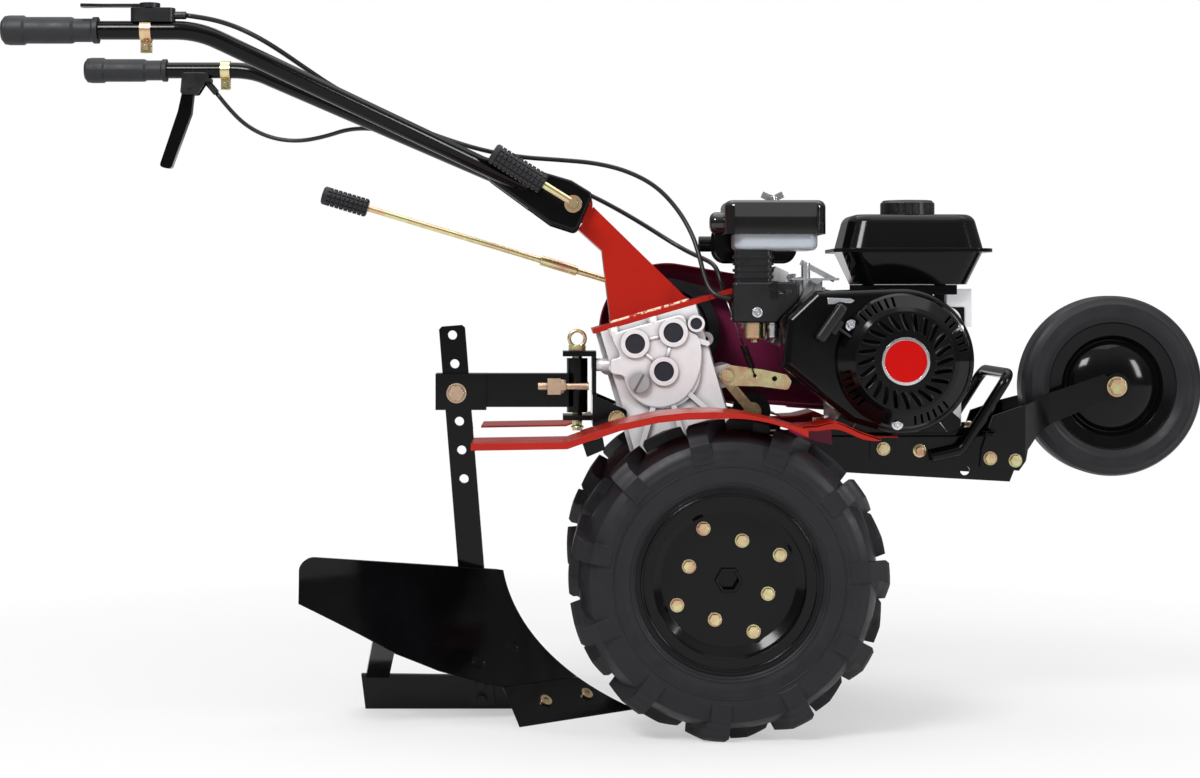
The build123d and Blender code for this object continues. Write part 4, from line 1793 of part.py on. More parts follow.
def clutch_cable():
    """The clutch cable with the bare wire that leaves its sheath and runs down to the spring."""
    anchor = cable_anchor()
    top = case_point((CABLE_TAB_X, CASE_TOP + PLATE_T + 12.0), CABLE_TAB_Y)
    sheath = cord(
        (
            (CLUTCH_X + 40.2, BAR_HALF_SPAN, BAR_Z - BAR_R - 22.3),
            *beside_bar(
                1,
                (-710.0, 1.000, 850.0),
                (-681.0, 1.000, 825.0),
                (-646.0, 0.992, 810.0),
                (-608.0, 0.976, 806.0),
                (-569.0, 0.929, 812.0),
                (-528.0, 0.839, 823.0),
                (-483.0, 0.713, 820.0),
                (-433.0, 0.594, 804.0),
                (-378.0, 0.469, 787.0),
            ),
            (-324.0, 91.9, 770.0),
            (-270.0, 73.9, 753.0),
            (-220.0, 63.0, 736.0),
            (-174.0, 55.9, 717.0),
            (-131.0, 52.1, 694.0),
            (-93.0, 48.0, 671.0),
            (-61.0, 39.9, 650.0),
            (-36.0, 23.1, 635.0),
            (-18.0, -2.0, 626.0),
            (-7.0, -24.9, 619.0),
            (-1.5, -41.9, 609.0),
            (top.X, top.Y, top.Z),
            (anchor.X, anchor.Y, anchor.Z),
        ),
        CABLE_R,
    )
    lower = spring_line(SPRING_LENGTH + SPRING_WIRE_R)
    return sheath + rod((anchor.X, anchor.Y, anchor.Z), (lower.X, lower.Y, lower.Z), WIRE_R)


def spring_line(along):
    """A point on the straight line from the tension arm's eye up to the cable's end."""
    eye = Vector(SPRING_EYE[0], TENSION_Y, SPRING_EYE[1])
    anchor = cable_anchor()
    return eye + (anchor - eye).normalized() * along


def spring_nodes():
    """Points and directions along the spring's wire, about an upright axis from zero."""
    r = SPRING_R
    hook = HOOK_RATIO * r
    leg = hook - 1.2 * r
    length = SPRING_LENGTH - 2 * hook
    steps = 4 * SPRING_TURNS
    rise = length / steps
    lead = rise / (r * radians(90.0))
    up = Vector(0, 0, 1)
    nodes = [
        (Vector(0, r, r), up * -1),
        (Vector(0, 0, 0), Vector(0, -1, 0)),
        (Vector(0, -r, r), up),
        (Vector(0, -r, leg), up),
    ]
    for i in range(steps + 1):
        angle = radians(90.0 * i)
        tangent = Vector(-sin(angle), cos(angle), lead).normalized()
        nodes.append((Vector(r * cos(angle), r * sin(angle), hook + rise * i), tangent))
    end = SPRING_LENGTH
    nodes += [
        (Vector(0, r, end - leg), up),
        (Vector(0, r, end - r), up),
        (Vector(0, 0, end), Vector(0, -1, 0)),
        (Vector(0, -r, end - r), up * -1),
    ]
    return nodes


def biarc(start, start_way, end, end_way):
    """Two arcs that join two points smoothly with the given directions, or a straight leg."""
    across = end - start
    ways = start_way + end_way
    spread = 2 * (1 - start_way.dot(end_way))
    if spread < 1e-9:
        return [Line(start, end)]
    slope = across.dot(ways)
    reach = (-slope + (slope**2 + spread * across.dot(across)) ** 0.5) / spread
    first = start + start_way * reach
    second = end - end_way * reach
    middle = (first + second) * 0.5
    way = (second - first).normalized()
    return [
        TangentArc(start, middle, tangent=start_way),
        TangentArc(middle, end, tangent=way),
    ]


def clutch_spring():
    """The clutch's pull spring: a close coil with a hook at each end."""
    nodes = spring_nodes()
    arcs = []
    for (start, start_way), (end, end_way) in zip(nodes, nodes[1:]):
        arcs += biarc(start, start_way, end, end_way)
    path = Wire(arcs)
    wire = sweep(Plane(origin=path @ 0, z_dir=path % 0) * Circle(SPRING_WIRE_R), path=path)
    pitch = (SPRING_LENGTH - 2 * HOOK_RATIO * SPRING_R) / SPRING_TURNS
    gap = round(pitch - 2 * SPRING_WIRE_R, 2)
    print("spring wire", round(path.length), "mm, gap between turns", gap, "mm")
    foot = spring_line(0)
    up = spring_line(1.0) - foot
    return Plane(origin=foot, x_dir=Vector(0, 1, 0).cross(up), z_dir=up) * wire


def cables(nodes):
    """The two control cables and the spring that pulls the belt tight."""
    nodes["throttle_cable"] = throttle_cable()
    nodes["clutch_cable"] = clutch_cable()
    nodes["clutch_spring"] = clutch_spring()


def main():
    """Build every piece and write each one in the shared frame."""
    nodes = {}
    drive_wheels(nodes)
    gearbox(nodes)
    handles(nodes)
    engine(nodes)
    belt_drive(nodes)
    chassis(nodes)
    hitch_and_plough(nodes)
    cables(nodes)
    os.makedirs("parts", exist_ok=True)
    for name, made in nodes.items():
        shape = Compound(children=made) if isinstance(made, list) else made
        export_step(Pos(AXLE_X, 0, 0) * shape, f"parts/{name}.step")


if __name__ == "__main__":
    main()
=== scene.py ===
"""Looks of a walk-behind plough tractor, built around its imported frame."""

import logging
import math
from dataclasses import dataclass, replace
from enum import Enum
from functools import cache

import bmesh
import bpy
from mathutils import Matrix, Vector


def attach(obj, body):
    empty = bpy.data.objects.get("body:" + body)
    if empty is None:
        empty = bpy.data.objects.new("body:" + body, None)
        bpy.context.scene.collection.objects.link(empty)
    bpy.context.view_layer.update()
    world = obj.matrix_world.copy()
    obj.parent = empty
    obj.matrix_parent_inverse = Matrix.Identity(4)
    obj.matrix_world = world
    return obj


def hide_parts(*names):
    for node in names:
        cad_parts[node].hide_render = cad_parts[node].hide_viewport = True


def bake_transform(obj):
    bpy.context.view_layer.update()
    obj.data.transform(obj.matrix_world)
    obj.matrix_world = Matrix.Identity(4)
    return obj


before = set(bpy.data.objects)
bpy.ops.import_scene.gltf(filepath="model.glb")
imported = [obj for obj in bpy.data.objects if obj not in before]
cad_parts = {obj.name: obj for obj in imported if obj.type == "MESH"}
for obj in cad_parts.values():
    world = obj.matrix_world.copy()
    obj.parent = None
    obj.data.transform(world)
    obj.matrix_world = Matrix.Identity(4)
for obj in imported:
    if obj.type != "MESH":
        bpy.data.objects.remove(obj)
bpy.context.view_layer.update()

Point = tuple[float, float]
Place = tuple[float, float, float]
Outline = tuple[Point, ...]
Route = tuple[Place, ...]

LOG = logging.getLogger("plough_tractor")

# The picture's size in pixels, which the camera is worked out from.
IMAGE_WIDTH = 1200.0
IMAGE_HEIGHT = 778.0

# The machine's sizes are in millimetres, x from the drive axle and z from the ground. The frame is in metres.
MM = 0.001
AXLE_X = 130.25
DRIVE_AXLE = (0.0, 207.0)
FRONT_AXLE = (544.5, 450.0)
CRANK_AXIS = (237.5, 488.0)
CASE_LEAN = math.radians(15.4)
SIDES = (("right", -1.0), ("left", 1.0))
# Farther out than any side face of the machine.
OUTSIDE = 400.0

# A ring wave of scale one repeats after this length.
WAVE_PERIOD = math.pi / 10.0
# The colour sockets of a Mix node, which share their names with others.
MIX_A, MIX_B, MIX_RESULT = 6, 7, 2
WHITE = (1.0, 1.0, 1.0, 1.0)
COAT_ROUGHNESS = 0.06
# Most of a noise pattern lies between these values.
NOISE_LOW, NOISE_HIGH = 0.3, 0.7
# The share of a ribbed surface's height that its fine skin has.
SKIN_SHARE = 0.2
EDGE_SAMPLES = 4
# The samples of the painted shade in corners.
PAINTED_SHADE_SAMPLES = 6

# A flanged hex screw from its seat outwards: share of the head's half width, y, whether it is a hexagon.
SCREW_STEPS = (
    (1.75, 0.3, False), (1.75, -1.0, False), (1.3, -1.6, False), (1.0, -1.7, True), (1.0, -4.6, True),
    (0.9, -5.4, False), (0.45, -5.4, False), (0.4, -4.9, False),
)
SCREW_POINTS = 24
SHEET_EDGE = 0.8


class Grain(Enum):
    """How a surface was made, which sets the pattern that it shows."""

    SPRAYED = "sprayed"
    CAST = "cast"
    PLATED = "plated"
    MOULDED = "moulded"
    RIBBED = "ribbed"
    TURNED = "turned"


class Ends(Enum):
    """What is done with the first and last rings of a skin."""

    FILLED = "filled"
    OPEN = "open"
    JOINED = "joined"


def linear(colour: str) -> tuple[float, float, float, float]:
    """Turns an sRGB hex value into a linear colour.

    Args:
        colour: A hex value such as "#c8200f".

    Returns:
        Red, green, blue and alpha, linear.
    """
    parts = [int(colour[i : i + 2], 16) / 255.0 for i in (1, 3, 5)]
    made = [c / 12.92 if c <= 0.04045 else ((c + 0.055) / 1.055) ** 2.4 for c in parts]
    return (*made, 1.0)


def row(x: float, y: float, z: float) -> Vector:
    """Turns a place on the machine, in millimetres, into the row frame."""
    return Vector(((x + AXLE_X) * MM, y * MM, z * MM))


def turns(count: int) -> list[float]:
    """Gives the angles of one full turn in equal steps."""
    return [math.tau * k / count for k in range(count)]


def circle(middle: Point, y: float, radius: float, count: int) -> list[Vector]:
    """Gives points on a circle that faces sideways.

    Args:
        middle: The x and z of its middle, in millimetres.
        y: Its place across the machine.
        radius: Its radius.
        count: How many points it has.

    Returns:
        The points in the row frame.
    """
    x, z = middle
    return [row(x + radius * math.cos(t), y, z + radius * math.sin(t)) for t in turns(count)]


def add_node(
    tree: bpy.types.NodeTree, kind: str, links: dict | None = None, **settings: object
) -> bpy.types.Node:
    """Adds a node with its settings and links.

    Args:
        tree: The node tree.
        kind: The node's type name, without its prefix.
        links: Input name or number to the socket that feeds it.
        settings: Input values by name, or properties of the node.

    Returns:
        The new node.
    """
    node = tree.nodes.new("ShaderNode" + kind)
    for key, value in settings.items():
        if hasattr(node, key):
            setattr(node, key, value)
    for key, value in settings.items():
        if not hasattr(node, key):
            node.inputs[key.replace("_", " ")].default_value = value
    for key, socket in (links or {}).items():
        tree.links.new(socket, node.inputs[key])
    return node


def seen_rays(tree: bpy.types.NodeTree) -> bpy.types.NodeSocket:
    """Finds the rays that show the background.

    Args:
        tree: The node tree.

    Returns:
        A socket that is one for a ray from the camera, a mirror or a clear body.
    """
    path = add_node(tree, "LightPath").outputs
    mirror = {0: path["Is Glossy Ray"], 1: path["Is Transmission Ray"]}
    indirect = add_node(tree, "Math", mirror, operation="MAXIMUM").outputs[0]
    return add_node(tree, "Math", {0: path["Is Camera Ray"], 1: indirect}, operation="MAXIMUM").outputs[0]


@dataclass(frozen=True)
class Finish:
    """One real material with the way its surface was made.

    Args:
        name: The material's common name.
        colour: Its main colour, as an sRGB hex value.
        tint: The colour that it drifts to in patches.
        grain: How the surface was made.
        grain_mm: The size of the fine pattern.
        patch_mm: The size of the patches of colour and gloss.
        relief_mm: The depth of the fine pattern.
        roughness: The least and most roughness.
        metallic: One for a bare metal, less for a metal under a dull skin.
        coat: The weight of a clear layer.
        gloss: The specular level of a material that isn't a bare metal.
        transmission: The share of light that passes.
        edge_mm: The radius that the light sees on its edges.
        axle: The x and z of the wheel that a ribbed surface rings.
        rib_mm: The distance between two of its rings.
        spread: How softly the patches pass into each other.
        painted_shade_mm: How near a wall the colour darkens, as painted shade in corners and crevices.
    """

    name: str
    colour: str
    tint: str
    grain: Grain
    grain_mm: float
    patch_mm: float
    relief_mm: float
    roughness: tuple[float, float]
    metallic: float = 0.0
    coat: float = 0.0
    gloss: float = 0.5
    transmission: float = 0.0
    edge_mm: float = 0.8
    axle: Point = (0.0, 0.0)
    rib_mm: float = 1.0
    spread: float = 0.4
    painted_shade_mm: float = 0.0

    @cache
    def material(self) -> bpy.types.Material:
        """Builds the finish's nodes.

        Returns:
            The material, which is made once.
        """
        material = bpy.data.materials.new(self.name)
        material.use_nodes = True
        tree = material.node_tree
        tree.nodes.clear()
        place = add_node(tree, "TexCoord").outputs["Object"]
        scale = 1.0 / (self.patch_mm * MM)
        clouds = add_node(tree, "TexNoise", {"Vector": place}, Scale=scale, Detail=3.0, Roughness=0.55)
        patch = clouds.outputs["Fac"]
        low, high = 0.5 - self.spread, 0.5 + self.spread
        share = add_node(tree, "MapRange", {"Value": patch}, From_Min=low, From_Max=high)
        colour = add_node(tree, "Mix", {"Factor": share.outputs["Result"]}, data_type="RGBA")
        colour.inputs[MIX_A].default_value = linear(self.colour)
        colour.inputs[MIX_B].default_value = linear(self.tint)
        rough = add_node(tree, "MapRange", {"Value": patch}, From_Min=NOISE_LOW, From_Max=NOISE_HIGH)
        rough.inputs["To Min"].default_value, rough.inputs["To Max"].default_value = self.roughness
        edge = add_node(tree, "Bevel", samples=EDGE_SAMPLES, Radius=self.edge_mm * MM)
        form = {"Height": self.relief(tree, place), "Normal": edge.outputs["Normal"]}
        bump = add_node(tree, "Bump", form, Strength=1.0, Distance=self.relief_mm * MM)
        base = colour.outputs[MIX_RESULT]
        # Painted shade: the base colour darkens near walls, in corners and crevices.
        if self.painted_shade_mm:
            reach = self.painted_shade_mm * MM
            painted_shade_node = add_node(tree, "AmbientOcclusion", {"Color": base}, samples=PAINTED_SHADE_SAMPLES, Distance=reach)
            base = painted_shade_node.outputs["Color"]
        shader = add_node(
            tree,
            "BsdfPrincipled",
            {"Base Color": base, "Roughness": rough.outputs["Result"], "Normal": bump.outputs["Normal"]},
            Metallic=self.metallic,
            Coat_Weight=self.coat,
            Coat_Roughness=COAT_ROUGHNESS,
            Transmission_Weight=self.transmission,
        )
        if self.metallic < 1.0:
            shader.inputs["Specular IOR Level"].default_value = self.gloss
        add_node(tree, "OutputMaterial", {"Surface": shader.outputs["BSDF"]})
        return material

    def relief(self, tree: bpy.types.NodeTree, place: bpy.types.NodeSocket) -> bpy.types.NodeSocket:
        """Makes the finish's fine height pattern.

        Args:
            tree: The node tree.
            place: The place on the object, in metres.

        Returns:
            The socket with the height.
        """
        scale = 1.0 / (self.grain_mm * MM)
        if self.grain in (Grain.CAST, Grain.MOULDED):
            cells = add_node(tree, "TexVoronoi", {"Vector": place}, Scale=scale, feature="SMOOTH_F1")
            return cells.outputs["Distance"]
        skin = add_node(tree, "TexNoise", {"Vector": place}, Scale=scale, Detail=2.0).outputs["Fac"]
        if self.grain is not Grain.RIBBED:
            return skin
        x, z = self.axle
        about = add_node(tree, "Mapping", {"Vector": place}, Location=-row(x, 0.0, z)).outputs["Vector"]
        scale = WAVE_PERIOD / (self.rib_mm * MM)
        rings = add_node(
            tree, "TexWave", {"Vector": about}, wave_type="RINGS", rings_direction="Y", Scale=scale
        )
        both = add_node(tree, "Math", {0: skin, 2: rings.outputs["Fac"]}, operation="MULTIPLY_ADD")
        both.inputs[1].default_value = SKIN_SHARE
        return both.outputs[0]


# Sprayed enamel: a wet gloss with a faint orange peel and pooled edges.
BLACK_ENAMEL = Finish(
    "black_enamel", "#060607", "#0a0a0c", Grain.SPRAYED,
    grain_mm=2.4, patch_mm=60.0, relief_mm=0.01, roughness=(0.07, 0.16), gloss=0.2, edge_mm=1.4,
)
# The same in red, a little duller.
RED_ENAMEL = Finish(
    "red_enamel", "#ac1d0d", "#9f180d", Grain.SPRAYED,
    grain_mm=2.4, patch_mm=60.0, relief_mm=0.006, roughness=(0.16, 0.26), gloss=0.28, edge_mm=1.2,
)
# A wine-red copy of the red enamel: painted shade for the belt guard and the fenders' webs, which lie in
# shade.
RED_ENAMEL_PAINTED_SHADE = replace(RED_ENAMEL, name="red_enamel_painted_shade", colour="#8d1d46", tint="#7f1a3f", patch_mm=50.0)
# The same paint inside the guard, duller and a deep plum: painted shade for the guard's inner face.
GUARD_INSIDE_PAINTED_SHADE = replace(
    RED_ENAMEL_PAINTED_SHADE, name="guard_inside_painted_shade", colour="#86264f", tint="#772146", roughness=(0.4, 0.55), gloss=0.15
)
# A weld painted over: red, with pale cream spots scattered at random.
PALE_SPOTTED_WELD = Finish(
    "pale_spotted_weld", "#b3200f", "#f6e3c8", Grain.CAST,
    grain_mm=3.0, patch_mm=7.0, relief_mm=0.8, roughness=(0.3, 0.5), gloss=0.4, spread=0.03,
)
# Die-cast aluminium, blasted: pale grey, grainy, with a soft sheen, and painted shade darkening its corners
# and crevices.
CAST_ALUMINIUM = Finish(
    "cast_aluminium", "#f6f5f7", "#e4e2e5", Grain.CAST,
    grain_mm=1.3, patch_mm=24.0, relief_mm=0.08, roughness=(0.36, 0.5), metallic=0.4, painted_shade_mm=10.0,
)
# Bare grey iron, a little oiled: dark with a dull sheen.
CAST_IRON = Finish(
    "cast_iron", "#3b3b3e", "#2c2c2f", Grain.CAST,
    grain_mm=1.5, patch_mm=20.0, relief_mm=0.1, roughness=(0.42, 0.6), metallic=1.0,
)
# Yellow-passivated zinc: pale gold that drifts to pink and green in patches, with painted shade darkening the
# corners round a screw's head.
YELLOW_ZINC = Finish(
    "yellow_zinc", "#dfe3a8", "#dfa98f", Grain.PLATED,
    grain_mm=0.8, patch_mm=16.0, relief_mm=0.015, roughness=(0.2, 0.34), metallic=1.0,
    edge_mm=0.4, spread=0.2, painted_shade_mm=4.0,
)
# The same passivation gone pink, as on thick screws.
PINK_ZINC = replace(YELLOW_ZINC, name="pink_zinc", colour="#dcb4a0", tint="#e4cfae")
# Clear-passivated zinc on screws and the carburettor: a cool silver.
WHITE_ZINC = Finish(
    "white_zinc", "#dcdee1", "#c6c9cd", Grain.PLATED,
    grain_mm=0.8, patch_mm=9.0, relief_mm=0.015, roughness=(0.16, 0.3), metallic=1.0, edge_mm=0.4,
)
# Turned and ground steel: cool grey with fine machining marks.
BRIGHT_STEEL = Finish(
    "bright_steel", "#b4b5b6", "#9c9d9f", Grain.TURNED,
    grain_mm=0.9, patch_mm=14.0, relief_mm=0.02, roughness=(0.22, 0.38), metallic=1.0, edge_mm=0.5,
)
# Carbon-filled tyre rubber: dusty black, with fine rings from its mould.
TYRE_RUBBER = Finish(
    "tyre_rubber", "#1a1a1d", "#232327", Grain.RIBBED,
    grain_mm=1.6, patch_mm=35.0, relief_mm=0.22, roughness=(0.34, 0.56), gloss=0.25,
    edge_mm=2.0, axle=DRIVE_AXLE, rib_mm=11.0,
)
# The same rubber with the front tyre's closer rings.
FRONT_TYRE_RUBBER = replace(TYRE_RUBBER, name="front_tyre_rubber", axle=FRONT_AXLE, rib_mm=9.0)
# Soft grip rubber: charcoal and matt.
GRIP_RUBBER = Finish(
    "grip_rubber", "#191a1d", "#222327", Grain.MOULDED,
    grain_mm=0.9, patch_mm=18.0, relief_mm=0.05, roughness=(0.45, 0.6), gloss=0.4,
)
# Nitrile rubber of the pressed-in plugs: blue-black.
PLUG_RUBBER = Finish(
    "plug_rubber", "#23252f", "#1c1e27", Grain.MOULDED,
    grain_mm=1.2, patch_mm=14.0, relief_mm=0.06, roughness=(0.5, 0.65), gloss=0.35,
)
# Fabric-faced belt rubber: dull black.
BELT_RUBBER = Finish(
    "belt_rubber", "#1b1b1b", "#242424", Grain.MOULDED,
    grain_mm=1.0, patch_mm=15.0, relief_mm=0.08, roughness=(0.6, 0.75), gloss=0.35,
)
# Injection-moulded plastic with a fine satin skin.
BLACK_PLASTIC = Finish(
    "black_plastic", "#111214", "#17181a", Grain.MOULDED,
    grain_mm=0.7, patch_mm=25.0, relief_mm=0.02, roughness=(0.26, 0.4), gloss=0.4,
)
# The same plastic from a polished mould: it mirrors the room.
GLOSS_PLASTIC = Finish(
    "gloss_plastic", "#0a0a0b", "#0f0f11", Grain.MOULDED,
    grain_mm=2.0, patch_mm=25.0, relief_mm=0.006, roughness=(0.06, 0.14), coat=0.4,
)
# Moulded nylon of the oil plug: plain grey.
GREY_PLASTIC = Finish(
    "grey_plastic", "#a4a5a7", "#98999b", Grain.MOULDED,
    grain_mm=0.9, patch_mm=12.0, relief_mm=0.04, roughness=(0.4, 0.55), gloss=0.4,
)
# Moulded polypropylene bowl: milky, lets light through.
CLEAR_PLASTIC = Finish(
    "clear_plastic", "#d7dee6", "#c9d2db", Grain.MOULDED,
    grain_mm=3.0, patch_mm=30.0, relief_mm=0.02, roughness=(0.16, 0.26), transmission=0.35,
)
# Moulded disc of one even red, smooth and only a little glossy.
RED_PLASTIC = Finish(
    "red_plastic", "#b80704", "#b80704", Grain.MOULDED,
    grain_mm=1.5, patch_mm=30.0, relief_mm=0.004, roughness=(0.24, 0.3), gloss=0.15,
)
# Bright chromium plate: a clear mirror.
CHROME = Finish(
    "chrome", "#e6e7e8", "#d9dadc", Grain.PLATED,
    grain_mm=1.2, patch_mm=20.0, relief_mm=0.005, roughness=(0.06, 0.12), metallic=1.0,
)


def dress(thing: bpy.types.Object, finish: Finish) -> None:
    """Gives an object one finish.

    Args:
        thing: The object.
        finish: Its finish.
    """
    thing.data.materials.clear()
    thing.data.materials.append(finish.material())
    LOG.info("%s in %s", thing.name, finish.name)


def loft(
    sections: list[list[Vector]], ends: Ends = Ends.FILLED, mesh: bmesh.types.BMesh | None = None
) -> bmesh.types.BMesh:
    """Joins closed sections into one skin.

    Args:
        sections: Rings of as many points each.
        ends: What is done with the first and last rings.
        mesh: The mesh that gets the faces, or none for a new one.

    Returns:
        The mesh.
    """
    mesh = mesh or bmesh.new()
    rings = [[mesh.verts.new(spot) for spot in section] for section in sections]
    count = len(rings[0])
    following = rings[1:] + rings[:1] if ends is Ends.JOINED else rings[1:]
    for first, second in zip(rings, following):
        for k in range(count):
            n = (k + 1) % count
            mesh.faces.new((first[k], first[n], second[n], second[k]))
    if ends is Ends.FILLED:
        mesh.faces.new(list(reversed(rings[0])))
        mesh.faces.new(rings[-1])
    return mesh


def piece(name: str, mesh: bmesh.types.BMesh, finish: Finish, rounded: bool = False) -> bpy.types.Object:
    """Makes a dressed object of a mesh.

    Args:
        name: The new object's name.
        mesh: The mesh, which is freed.
        finish: The object's finish.
        rounded: Whether its skin is shaded round, apart from its ends.

    Returns:
        The new object.
    """
    bmesh.ops.recalc_face_normals(mesh, faces=mesh.faces)
    for face in mesh.faces:
        face.smooth = rounded and len(face.verts) == 4
    data = bpy.data.meshes.new(name)
    mesh.to_mesh(data)
    mesh.free()
    thing = bpy.data.objects.new(name, data)
    bpy.context.scene.collection.objects.link(thing)
    dress(thing, finish)
    return thing


def tube(
    name: str, spots: list[Vector], radius: float, sides: int, finish: Finish, closed: bool = False
) -> bpy.types.Object:
    """Sweeps a ring along a line of points.

    Args:
        name: The new object's name.
        spots: The line's points in the row frame.
        radius: The ring's radius, in millimetres.
        sides: How many sides the ring has.
        finish: The object's finish.
        closed: Whether the line runs back to its start.

    Returns:
        The new object.
    """
    count = len(spots)
    sections = []
    across = None
    for i, spot in enumerate(spots):
        before, after = (i - 1, (i + 1) % count) if closed else (max(i - 1, 0), min(i + 1, count - 1))
        ahead = (spots[after] - spots[before]).normalized()
        if across is None:
            across = ahead.orthogonal().normalized()
        across = (across - ahead * across.dot(ahead)).normalized()
        up = ahead.cross(across)
        out = [across * math.cos(t) + up * math.sin(t) for t in turns(sides)]
        sections.append([spot + way * (radius * MM) for way in out])
    return piece(name, loft(sections, Ends.JOINED if closed else Ends.FILLED), finish, rounded=True)


def surface(node: str, x: float, z: float, side: float = -1.0) -> float:
    """Finds how far out a node's face lies.

    Args:
        node: The node.
        x: The place along the machine, in millimetres.
        z: Its height.
        side: Minus one for the right face, one for the left.

    Returns:
        The face's y, in millimetres.
    """
    found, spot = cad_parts[node].ray_cast(row(x, side * OUTSIDE, z), Vector((0.0, -side, 0.0)))[:2]
    if not found:
        raise RuntimeError(f"nothing of {node} at {x}, {z}")
    return spot.y / MM


def hexagon(turn: float) -> float:
    """Gives a hexagon's reach at an angle, as a share of half its width across flats."""
    sector = math.pi / 3.0
    return 1.0 / math.cos((turn + sector / 2.0) % sector - sector / 2.0)


def screw(name: str, node: str, middle: Point, half_width: float, finish: Finish) -> None:
    """Sets a flanged hex screw on a node's right face.

    Args:
        name: The screw's name.
        node: The node that it holds.
        middle: Its x and z, in millimetres.
        half_width: Half the width of its head.
        finish: Its finish.
    """
    x, z = middle
    face = surface(node, x, z)
    sections = []
    for share, out, is_hexagon in SCREW_STEPS:
        ring = []
        for turn in turns(SCREW_POINTS):
            reach = half_width * share * (hexagon(turn) if is_hexagon else 1.0)
            ring.append(row(x + reach * math.cos(turn), face + out, z + reach * math.sin(turn)))
        sections.append(ring)
    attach(piece(name, loft(sections), finish), "chassis")


def folded(name: str, outline: Outline, ys: Point, finish: Finish) -> None:
    """Makes a sheet-metal form of a side outline, with softened edges.

    Args:
        name: The form's name.
        outline: Its corners, x and z in millimetres.
        ys: Where it starts and ends across the machine.
        finish: Its finish.
    """
    thing = piece(name, loft([[row(x, y, z) for x, z in outline] for y in ys]), finish)
    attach(thing, "chassis")
    soft = thing.modifiers.new("rolled_edges", "BEVEL")
    soft.width = SHEET_EDGE * MM
    soft.segments = 2


def smooth_line(name: str, points: Route) -> list[Vector]:
    """Reads the points of a smooth curve.

    Args:
        name: The curve's name.
        points: Its control points, in millimetres.

    Returns:
        Points in the row frame.
    """
    curve = bpy.data.curves.new(name, "CURVE")
    curve.dimensions = "3D"
    spline = curve.splines.new("NURBS")
    spline.points.add(len(points) - 1)
    for spot, place in zip(spline.points, points):
        spot.co = (*row(*place), 1.0)
    spline.order_u = 3
    spline.use_endpoint_u = True
    spline.resolution_u = 8
    thing = bpy.data.objects.new(name, curve)
    bpy.context.scene.collection.objects.link(thing)
    bpy.context.view_layer.update()
    mesh = bpy.data.meshes.new_from_object(thing)
    found = [v.co.copy() for v in mesh.vertices]
    bpy.data.meshes.remove(mesh)
    bpy.data.objects.remove(thing)
    return found


@dataclass(frozen=True)
class Patch:
    """A region of a node that has a finish of its own.

    Args:
        finish: The region's finish.
        low: Its least corner, in millimetres.
        high: Its greatest corner.
        centre: The x and z of a line across the machine.
        beyond: How far from that line the region starts.
    """

    finish: Finish
    low: Place
    high: Place
    centre: Point = (0.0, 0.0)
    beyond: float = 0.0

    def holds(self, place: Vector) -> bool:
        """Tells whether a place lies in the region.

        Args:
            place: The place in the row frame.

        Returns:
            True if it does.
        """
        inside = all(a <= b <= c for a, b, c in zip(row(*self.low), place, row(*self.high)))
        line = row(self.centre[0], 0.0, self.centre[1])
        return inside and math.hypot(place.x - line.x, place.z - line.z) >= self.beyond * MM


Coats = tuple[tuple[Finish, tuple[str, ...]], ...]
Patches = tuple[tuple[str, Patch], ...]


@dataclass
class SubAssembly:
    """A group of the frame's nodes, listed by finish, with regions that have another."""

    finishes: Coats = ()
    patches: Patches = ()

    def build(self) -> None:
        """Dresses the nodes and adds what the frame lacks."""
        for finish, nodes in self.finishes:
            for node in nodes:
                dress(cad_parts[node], finish)
        for node, patch in self.patches:
            self.lay(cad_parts[node], patch)
        self.details()

    def lay(self, thing: bpy.types.Object, patch: Patch) -> None:
        """Gives the faces in a region their own finish.

        Args:
            thing: The node's object.
            patch: The region.
        """
        thing.data.materials.append(patch.finish.material())
        slot = len(thing.data.materials) - 1
        for face in thing.data.polygons:
            if patch.holds(thing.matrix_world @ face.center):
                face.material_index = slot
        LOG.info("%s partly in %s", thing.name, patch.finish.name)

    def details(self) -> None:
        """Adds the pieces that only the eye needs."""


@dataclass
class DriveWheels(SubAssembly):
    """The two lugged wheels on their axle."""

    finishes: Coats = (
        (TYRE_RUBBER, ("drive_tyres",)),
        (BLACK_ENAMEL, ("wheel_rims", "wheel_hubs", "axle_shaft")),
        (YELLOW_ZINC, ("wheel_bolts",)),
    )
    # Each raised ring's radius about the axle, and the radius of its section.
    tyre_rings: Outline = ((149.0, 1.1), (128.0, 0.9), (124.0, 0.9))
    rim_lip: Point = (113.0, 2.2)
    # An angle at which no lug or bolt stands in the way.
    clear_turn: float = 0.35
    ring_steps: int = 120
    ring_sides: int = 8

    def details(self) -> None:
        """Raises the moulded rings on the tyres and the rolled lip on the rims."""
        for name, side in SIDES:
            for k, ring in enumerate(self.tyre_rings):
                self.raise_ring(f"{name}_tyre_ring_{k}", "drive_tyres", ring, side, TYRE_RUBBER)
            self.raise_ring(f"{name}_rim_lip", "wheel_rims", self.rim_lip, side, BLACK_ENAMEL)

    def raise_ring(self, name: str, node: str, ring: Point, side: float, finish: Finish) -> None:
        """Lays a half-sunk ring on a wheel's outer face.

        Args:
            name: The ring's name.
            node: The node that it lies on.
            ring: Its radius about the axle and the radius of its section.
            side: Minus one on the right, one on the left.
            finish: Its finish.
        """
        radius, thick = ring
        x, z = DRIVE_AXLE
        turn = self.clear_turn
        face = surface(node, x + radius * math.cos(turn), z + radius * math.sin(turn), side)
        spots = circle(DRIVE_AXLE, face, radius, self.ring_steps)
        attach(tube(name, spots, thick, self.ring_sides, finish, closed=True), "drive_axle")


